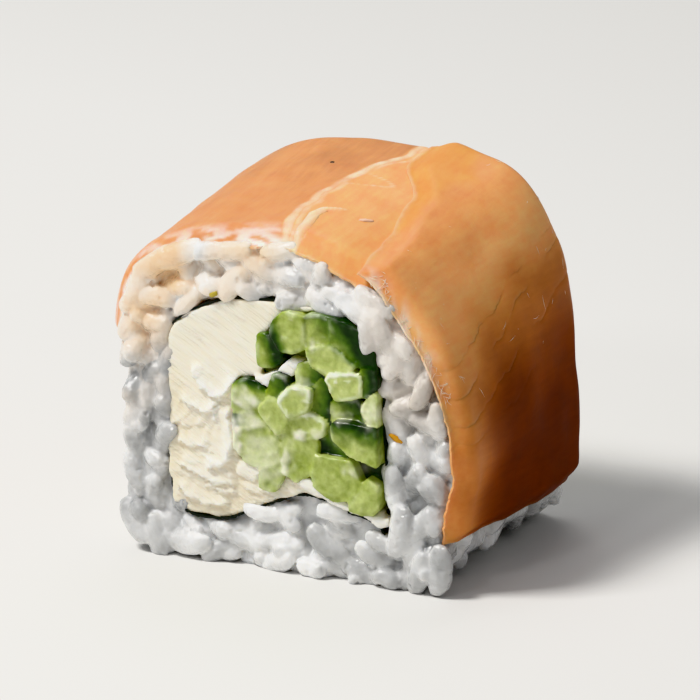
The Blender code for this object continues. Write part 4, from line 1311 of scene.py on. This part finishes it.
def fat_line(x, y):
    """How strongly the broken line of fat shows, from 0 to 1."""
    waver = 0.5 * MM * noise_at(y / (2.2 * MM), 5.0, 2.0)
    away = x - line_x(FAT_LINE, y) - waver
    width = (0.5 + 0.35 * noise_at(y / (2.6 * MM), 2.0, 2.0)) * MM
    broken = 0.75 + 0.9 * noise_at(x / (0.8 * MM), y / (1.6 * MM), 8.0)
    branch_away = away - 0.55 * MM - 0.35 * (y + ROLL_LENGTH / 2) * max(
        noise_at(y / (3.4 * MM), 1.0, 4.0), 0.0)
    branch = 0.6 * ridge(branch_away, 0.35 * MM)
    return min(max(ridge(away, width) * broken, branch * broken, 0.0), 1.0)


def fold_line(x, y):
    """The white rim of the small fold at the front."""
    from_cut = y + ROLL_LENGTH / 2
    return ridge(x - line_x(FOLD_LINE, y), 0.32 * MM) * smooth((9.4 * MM - from_cut) / (0.8 * MM))


def left_height(t, y, x):
    """Relief on the left slice: the raised line of fat and the fold at the front."""
    return 0.08 * MM * fat_line(x, y) + 0.14 * MM * fold_line(x, y) + grain_print(t, y)


# Fine creases down the right slice's side: where each starts at the front cut and how far it rises towards
# the back, both counted in points of the rice outline, and how deep it is
CREASES = ((12.55, -0.9, 1.0), (13.0, -1.1, 0.8), (13.45, -1.0, 0.9), (13.7, -0.5, 0.5))


def creases(t, y):
    """How deep the creases are, from 0 to 1."""
    from_front = y / ROLL_LENGTH + 0.5
    waver = 0.14 * noise_at(0.0, y / (4.0 * MM), 2.0) + 0.05 * noise_at(3.0, y / MM, 2.0)
    deepest = 0.0
    for start, rise, depth in CREASES:
        broken = smooth(0.45 + 1.6 * noise_at(start * 9.0, y / (4.5 * MM), 6.0))
        deepest = max(deepest, depth * broken * ridge(t - start - rise * from_front - waver, 0.05))
    return deepest


def right_height(t, y):
    """Relief on the right slice: fine creases down its side."""
    return -0.12 * MM * creases(t, y) + grain_print(t, y)


def left_colour(t, y, x, shades):
    """The left slice's flesh: pinker left of its fat line, milky with a painted highlight at the front left.
    """
    slow = noise_at(t * 1.3, y / (9.0 * MM), 7.0)
    beyond = smooth((x - line_x(FAT_LINE, y)) / (0.9 * MM) * 0.5 + 0.5)
    shade = mix(shades["fish_pink"], shades["fish_orange"], beyond) * (1.0 + 0.08 * slow)
    shade = shade * mix(1.0, 0.84, smooth(y / ROLL_LENGTH + 0.4) * (1.0 - beyond))
    # Paler where it turns over the edge at the front left: milky flesh and a painted highlight
    from_cut = (y + ROLL_LENGTH / 2) / MM
    milky_highlight = smooth(1.4 - from_cut / 2.2) * smooth((1.0 * MM - x) / (3.0 * MM))
    milky_highlight *= smooth(0.65 + 2.0 * noise_at(x / (1.9 * MM), from_cut / 0.5, 3.0))
    shade = mix(shade, shades["fish_worn"], 0.9 * milky_highlight)
    return mix(shade, shades["fish_fat"], max(0.85 * fat_line(x, y), 0.9 * fold_line(x, y)))


def right_colour(t, y, x, shades):
    """The right slice: painted shade at its foot and creases, and frayed milky rims with a painted highlight.
    """
    # From 0 at its top to 1 at its foot
    down = (t - 10.2) / 5.4
    shade = mix(shades["fish_top"], shades["fish_side"], smooth(down / 0.3))
    from_cut = (y + ROLL_LENGTH / 2) / MM
    # Painted shade: the foot is darkest towards the back
    soft = 0.06 * noise_at(t * 1.6, y / (6.0 * MM), 15.0)
    low = smooth((down + soft - 0.24) / 0.54) * mix(0.15, 1.0, smooth((from_cut + 20.0 * soft) / 12.0))
    shade = deepened(shade, shades["fish_low"], low)
    # Painted shade in the creases
    shade = shade * (1.0 - 0.15 * creases(t, y))
    ragged = 0.9 * MM * noise_at(t * 2.0, y / (3.0 * MM), 4.0)
    lying = smooth((line_x(HIDDEN_END, y) + ragged - x) / (1.6 * MM) + 0.5) if t < 12 else 0.0
    lying *= smooth((y + ROLL_LENGTH / 2 - 4.0 * MM) / (6.0 * MM))
    shade = mix(shade, shades["fish_glow"], 0.7 * lying)
    slow = noise_at(t * 1.1, y / (8.0 * MM), 11.0)
    shade = shade * (1.0 + 0.1 * slow)
    # Frayed and milky along the front rim, over the shoulder, with a painted highlight
    frayed = smooth(1.15 - from_cut / 2.0) * smooth((12.9 - t) / 0.8)
    frayed *= smooth(0.4 + 1.5 * noise_at(t * 4.0 + from_cut * 0.8, from_cut / 0.9, 3.0))
    # and along the back rim, halfway down
    from_back = ROLL_LENGTH / MM - from_cut
    streaked = smooth(1.2 - from_back / 1.6) * smooth((t - 11.8) / 0.5) * smooth((14.8 - t) / 0.6)
    frayed = max(frayed, streaked * smooth(0.3 + 1.8 * noise_at(t * 2.2, from_back / 0.5, 5.0)))
    return mix(shade, shades["fish_worn"], 0.6 * frayed)


def fish_slice(name, node, limits, seed, thickness, height, shade, shades, fibrous):
    """A thin slice over the rice, thinner and paler towards its rim."""
    columns, rows = 190, 130
    start, end = limits
    across = (along(end, 0.0) - along(start, 0.0)) * POINT_SPACING * MM

    def spot(u, v):
        t = mix(along(start, 0.0), along(end, 0.0), u)
        y = mix(fish_rim(t, -1, seed), fish_rim(t, 1, seed), v)
        side = -1 if v < 0.5 else 1
        y += fish_tear(t, side, seed) * max(1.0 - min(v, 1.0 - v) * ROLL_LENGTH / (0.7 * MM), 0.0)
        uneven = 0.03 * noise_at(y / (2.6 * MM), seed, u)
        return mix(along(start, y) + uneven, along(end, y) + uneven, u), y

    def to_rim(u, v):
        return min(min(v, 1.0 - v) * ROLL_LENGTH, min(u, 1.0 - u) * across)

    def place(u, v):
        t, y = spot(u, v)
        x = on_roll(t, y, 0.0).x
        return on_roll(t, y, GAP + fish_wave(t, y) - clinging(to_rim(u, v)) + height(t, y, x))

    piece = sheet_of(name, columns, rows, place)
    group = piece.vertex_groups.new(name="thickness")
    colours = []
    for vert in piece.data.vertices:
        u, v = vert.index % (columns + 1) / columns, vert.index // (columns + 1) / rows
        t, y = spot(u, v)
        group.add([vert.index], smooth(to_rim(u, v) / THIN_RIM_WIDTH), "REPLACE")
        # Paler at the rim: thin flesh, and partly a painted highlight
        width = (0.4 + 0.3 * noise_at(t * 5.0, y / MM, seed)) * MM
        rim = (1.0 - smooth(to_rim(u, v) / width)) * mix(1.0, 0.35, smooth(t - SHOULDER))
        colours.append(mix(shade(t, y, vert.co.x, shades), shades["fish_rim"], 0.4 * rim))
    paint_colour(piece, "flesh", colours)
    modify(piece, "SOLIDIFY", thickness=thickness, offset=1.0, use_even_offset=True, vertex_group=group.name,
           thickness_vertex_group=THIN_RIM)
    smooth_shading(piece, 60)
    settle(piece, node, fish_material(name.replace("fish", "cured_fish"), fibrous))


def right_top(t, y):
    """How high over the rice the right slice's upper side lies."""
    first, last = along(RIGHT_FISH_START, y), along(RIGHT_FISH_END, y)
    to_rim = max(min(ROLL_LENGTH / 2 - abs(y), min(t - first, last - t) * POINT_SPACING * MM), 0.0)
    thick = RIGHT_FISH_THICKNESS * mix(THIN_RIM, 1.0, smooth(to_rim / THIN_RIM_WIDTH))
    return GAP + over_left_slice(t, y) + fish_wave(t, y) + right_height(t, y) - clinging(to_rim) + thick


def add_strands(count, width):
    """Fine strands of flesh that lie on the right slice, and fuzz at its front rim."""
    draw = random.Random(STRAND_SEED)
    steps = 7
    bpy.ops.object.select_all(action="DESELECT")
    bpy.ops.curve.primitive_nurbs_path_add()
    strands = named("strand_lines")
    strands.data.splines.clear()
    for index in range(count):
        # Four in five are the fuzz
        if index % 5:
            t, y = draw.uniform(10.5, 12.8), -ROLL_LENGTH / 2 + draw.uniform(0.4, 2.2) * MM
        else:
            t, y = 10.5 + 2.8 * draw.random() ** 1.3, draw.uniform(-0.45, 0.45) * ROLL_LENGTH
        way = draw.uniform(0.0, math.pi)
        curl = draw.uniform(-0.28, 0.28)
        length = draw.uniform(0.3, 1.0) ** 1.5 * 1.7 * MM
        line = strands.data.splines.new("POLY")
        line.points.add(steps - 1)
        for step in range(steps):
            line.points[step].co = (*on_roll(t, y, right_top(t, y)), 1.0)
            taper = 0.3 + 0.7 * smooth(1.0 - abs(step - steps // 2) / (steps // 2))
            line.points[step].radius = draw.uniform(0.4, 1.0) * taper
            t += math.sin(way) * length / steps / (POINT_SPACING * MM)
            y = min(max(y + math.cos(way) * length / steps, -ROLL_LENGTH / 2), ROLL_LENGTH / 2)
            way += curl
    strands.data.dimensions = "3D"
    strands.data.bevel_depth = width / 2
    strands.data.bevel_resolution = 1
    strands.data.use_fill_caps = True
    only(strands)
    bpy.ops.object.convert(target="MESH")
    strands = named("fish_strands")
    smooth_shading(strands)
    settle(strands, None, strand_material())


def make_fish(context):
    sizes = context.scene.roll_sizes
    shades = shades_of("fish_pink", "fish_orange", "fish_fat", "fish_top", "fish_side", "fish_low",
                       "fish_glow", "fish_rim", "fish_worn")
    fish_slice("fish_left", "fish_slice_left", (LEFT_FISH_START, LEFT_FISH_END), 2.0, sizes.left_fish,
               left_height, left_colour, shades, 0.2)
    fish_slice("fish_right", "fish_slice_right", (RIGHT_FISH_START, RIGHT_FISH_END), 7.0, sizes.right_fish,
               lambda t, y, x: over_left_slice(t, y) + right_height(t, y), right_colour, shades, 0.16)
    add_strands(sizes.strands, sizes.strand_width)


# ---- Crumbs ------------------------------------------------------------------------------------------------

# Crumbs: on which piece, where (millimetres) and the way down onto it, long axis, length, width and colour
CRUMBS = (
    ("rice_grains", (-8.3, -30.0, 28.9), (0.0, 1.0, 0.0), (0.9, 0.0, 0.5), 1.0, 0.6, "pale_fleck"),
    ("rice_grains", (12.1, -30.0, 16.2), (0.0, 1.0, 0.0), (0.8, 0.0, -0.6), 1.6, 0.65, "fleck"),
    ("fish_left", (4.8, -6.1, 60.0), (0.0, 0.0, -1.0), (0.76, 0.65, 0.0), 1.7, 0.55, "shred"),
    ("fish_left", (-4.3, 4.5, 60.0), (0.0, 0.0, -1.0), (1.0, 0.0, 0.0), 0.5, 0.35, "speck"),
)


def make_crumbs(context):
    crumbs = []
    for carrier, start, way, long_axis, length, width, shade in CRUMBS:
        hit, spot, normal, _ = bpy.data.objects[carrier].ray_cast(Vector(start) * MM, Vector(way))
        if not hit:
            raise RuntimeError(f"nothing under the crumb on {carrier}")
        long_axis = (Vector(long_axis) - normal * normal.dot(Vector(long_axis))).normalized()
        turn = Matrix((long_axis, normal.cross(long_axis), normal)).transposed().to_4x4()
        bpy.ops.object.select_all(action="DESELECT")
        bpy.ops.mesh.primitive_ico_sphere_add(subdivisions=3, radius=1.0)
        crumb = named("crumb")
        for vert in crumb.data.vertices:
            vert.co *= 1.0 + 0.3 * noise.noise(vert.co * 2.0 + Vector(start))
        crumb.data.transform(Matrix.Translation(spot) @ turn @ Matrix.Diagonal(
            (length * MM / 2, width * MM / 2, 0.3 * width * MM, 1.0)))
        paint_colour(crumb, "flesh", [colour(shade)[:3]] * len(crumb.data.vertices))
        crumbs.append(crumb)
    crumbs = join("crumbs", crumbs)
    smooth_shading(crumbs)
    material, shader = new_material("cooked_crumbs", Roughness=0.4, Coat_Weight=0.2)
    drive(material, shader, Base_Color=add_node(
        material, "ShaderNodeAttribute", attribute_name="flesh").outputs["Color"])
    settle(crumbs, None, material)


# ---- Stage -------------------------------------------------------------------------------------------------

CAMERA_DISTANCE = 1.2
CAMERA_LENS = 600.0
FLOOR_SIZE = 6.0
SKY_TINT = (0.96, 0.97, 1.0, 1.0)
SKY_STRENGTH = 0.3
# Square lights that face the slice: azimuth, elevation, distance, size, power and tint
LIGHTS = {
    "key": (-50.0, 56.0, 0.55, 0.14, 2.95, (1.0, 0.985, 0.96)),
    "back": (200.0, 58.0, 0.6, 0.3, 0.7, (1.0, 0.99, 0.97)),
    "fill": (-8.0, 34.0, 0.7, 0.08, 0.4, (0.98, 0.99, 1.0)),
}


def direction(azimuth, elevation):
    """The way from the slice to a point of the compass, azimuth 0 being the front."""
    a, e = math.radians(azimuth), math.radians(elevation)
    return Vector((math.sin(a) * math.cos(e), -math.cos(a) * math.cos(e), math.sin(e)))


def add_light(name, target, azimuth, elevation, distance, size, power, tint):
    """A soft square light that faces the target."""
    bpy.ops.object.light_add(type="AREA")
    light = bpy.context.object
    light.name = name
    light.data.size = size
    light.data.energy = power
    light.data.color = tint
    way = direction(azimuth, elevation)
    light.location = target + way * distance
    light.rotation_euler = way.to_track_quat("Z", "Y").to_euler()
    light.visible_camera = False


def make_stage(context):
    middle = (CAD_BOX[0] + CAD_BOX[1]) / 2
    bpy.ops.object.select_all(action="DESELECT")
    bpy.ops.mesh.primitive_plane_add(size=FLOOR_SIZE, location=(0.0, 0.0, 0.0))
    floor = named("floor")
    floor.data.materials.append(new_material("matt_board", Base_Color=colour("floor"), Roughness=0.7,
                                             Specular_IOR_Level=0.2)[0])
    for name, settings in LIGHTS.items():
        add_light(name, middle, *settings)
    world = bpy.data.worlds.new("studio")
    context.scene.world = world
    world.use_nodes = True
    background = world.node_tree.nodes["Background"]
    background.inputs["Color"].default_value = SKY_TINT
    background.inputs["Strength"].default_value = SKY_STRENGTH
    way = direction(VIEW_AZIMUTH, VIEW_ELEVATION)
    bpy.ops.object.camera_add(location=middle + way * CAMERA_DISTANCE,
                              rotation=way.to_track_quat("Z", "Y").to_euler())
    camera = bpy.context.object
    camera.data.lens = CAMERA_LENS
    camera.data.clip_start, camera.data.clip_end = 0.05, 20.0
    context.scene.camera = camera
    context.scene.view_settings.view_transform = "Khronos PBR Neutral"


# ---- Operators ---------------------------------------------------------------------------------------------


class MakeRice(bpy.types.Operator):
    """Add the ring of sticky rice."""

    bl_idname = "roll.make_rice"
    bl_label = "Rice"

    def execute(self, context):
        make_rice(context)
        return {"FINISHED"}


class MakeNori(bpy.types.Operator):
    """Add the sheet of nori round the filling."""

    bl_idname = "roll.make_nori"
    bl_label = "Nori"

    def execute(self, context):
        make_nori(context)
        return {"FINISHED"}


class MakeCheese(bpy.types.Operator):
    """Add the cream cheese and its smears."""

    bl_idname = "roll.make_cheese"
    bl_label = "Cream cheese"

    def execute(self, context):
        make_cheese(context)
        return {"FINISHED"}


class MakeCucumber(bpy.types.Operator):
    """Add the sticks of cucumber."""

    bl_idname = "roll.make_cucumber"
    bl_label = "Cucumber"

    def execute(self, context):
        make_cucumber(context)
        return {"FINISHED"}


class MakeFish(bpy.types.Operator):
    """Add the two slices of cured fish and their strands."""

    bl_idname = "roll.make_fish"
    bl_label = "Fish"

    def execute(self, context):
        make_fish(context)
        return {"FINISHED"}


class MakeCrumbs(bpy.types.Operator):
    """Add the two yellow crumbs in the rice, and the shred and the speck on the left slice."""

    bl_idname = "roll.make_crumbs"
    bl_label = "Crumbs"

    def execute(self, context):
        make_crumbs(context)
        return {"FINISHED"}


class MakeStage(bpy.types.Operator):
    """Add the floor, the lights and the camera."""

    bl_idname = "roll.make_stage"
    bl_label = "Stage"

    def execute(self, context):
        make_stage(context)
        return {"FINISHED"}


OPERATORS = (MakeStage, MakeRice, MakeNori, MakeCheese, MakeCucumber, MakeFish, MakeCrumbs)


class RollPanel(bpy.types.Panel):
    """The slice's sizes, colours and pieces."""

    bl_idname = "VIEW3D_PT_roll"
    bl_label = "California roll"
    bl_space_type = "VIEW_3D"
    bl_region_type = "UI"
    bl_category = "Roll"

    def draw(self, context):
        for operator in OPERATORS:
            self.layout.operator(operator.bl_idname)
        for group in (context.scene.roll_sizes, context.scene.roll_colours):
            column = self.layout.column()
            for name in group.__annotations__:
                column.prop(group, name)


CLASSES = (RollSizes, RollColours, *OPERATORS, RollPanel)


def register():
    for cls in CLASSES:
        bpy.utils.register_class(cls)
    bpy.types.Scene.roll_sizes = PointerProperty(type=RollSizes)
    bpy.types.Scene.roll_colours = PointerProperty(type=RollColours)


def unregister():
    del bpy.types.Scene.roll_colours
    del bpy.types.Scene.roll_sizes
    for cls in reversed(CLASSES):
        bpy.utils.unregister_class(cls)


def main():
    register()
    bpy.ops.roll.make_stage()
    bpy.ops.roll.make_rice()
    bpy.ops.roll.make_nori()
    bpy.ops.roll.make_cheese()
    bpy.ops.roll.make_cucumber()
    bpy.ops.roll.make_fish()
    bpy.ops.roll.make_crumbs()


if __name__ == "__main__":
    main()
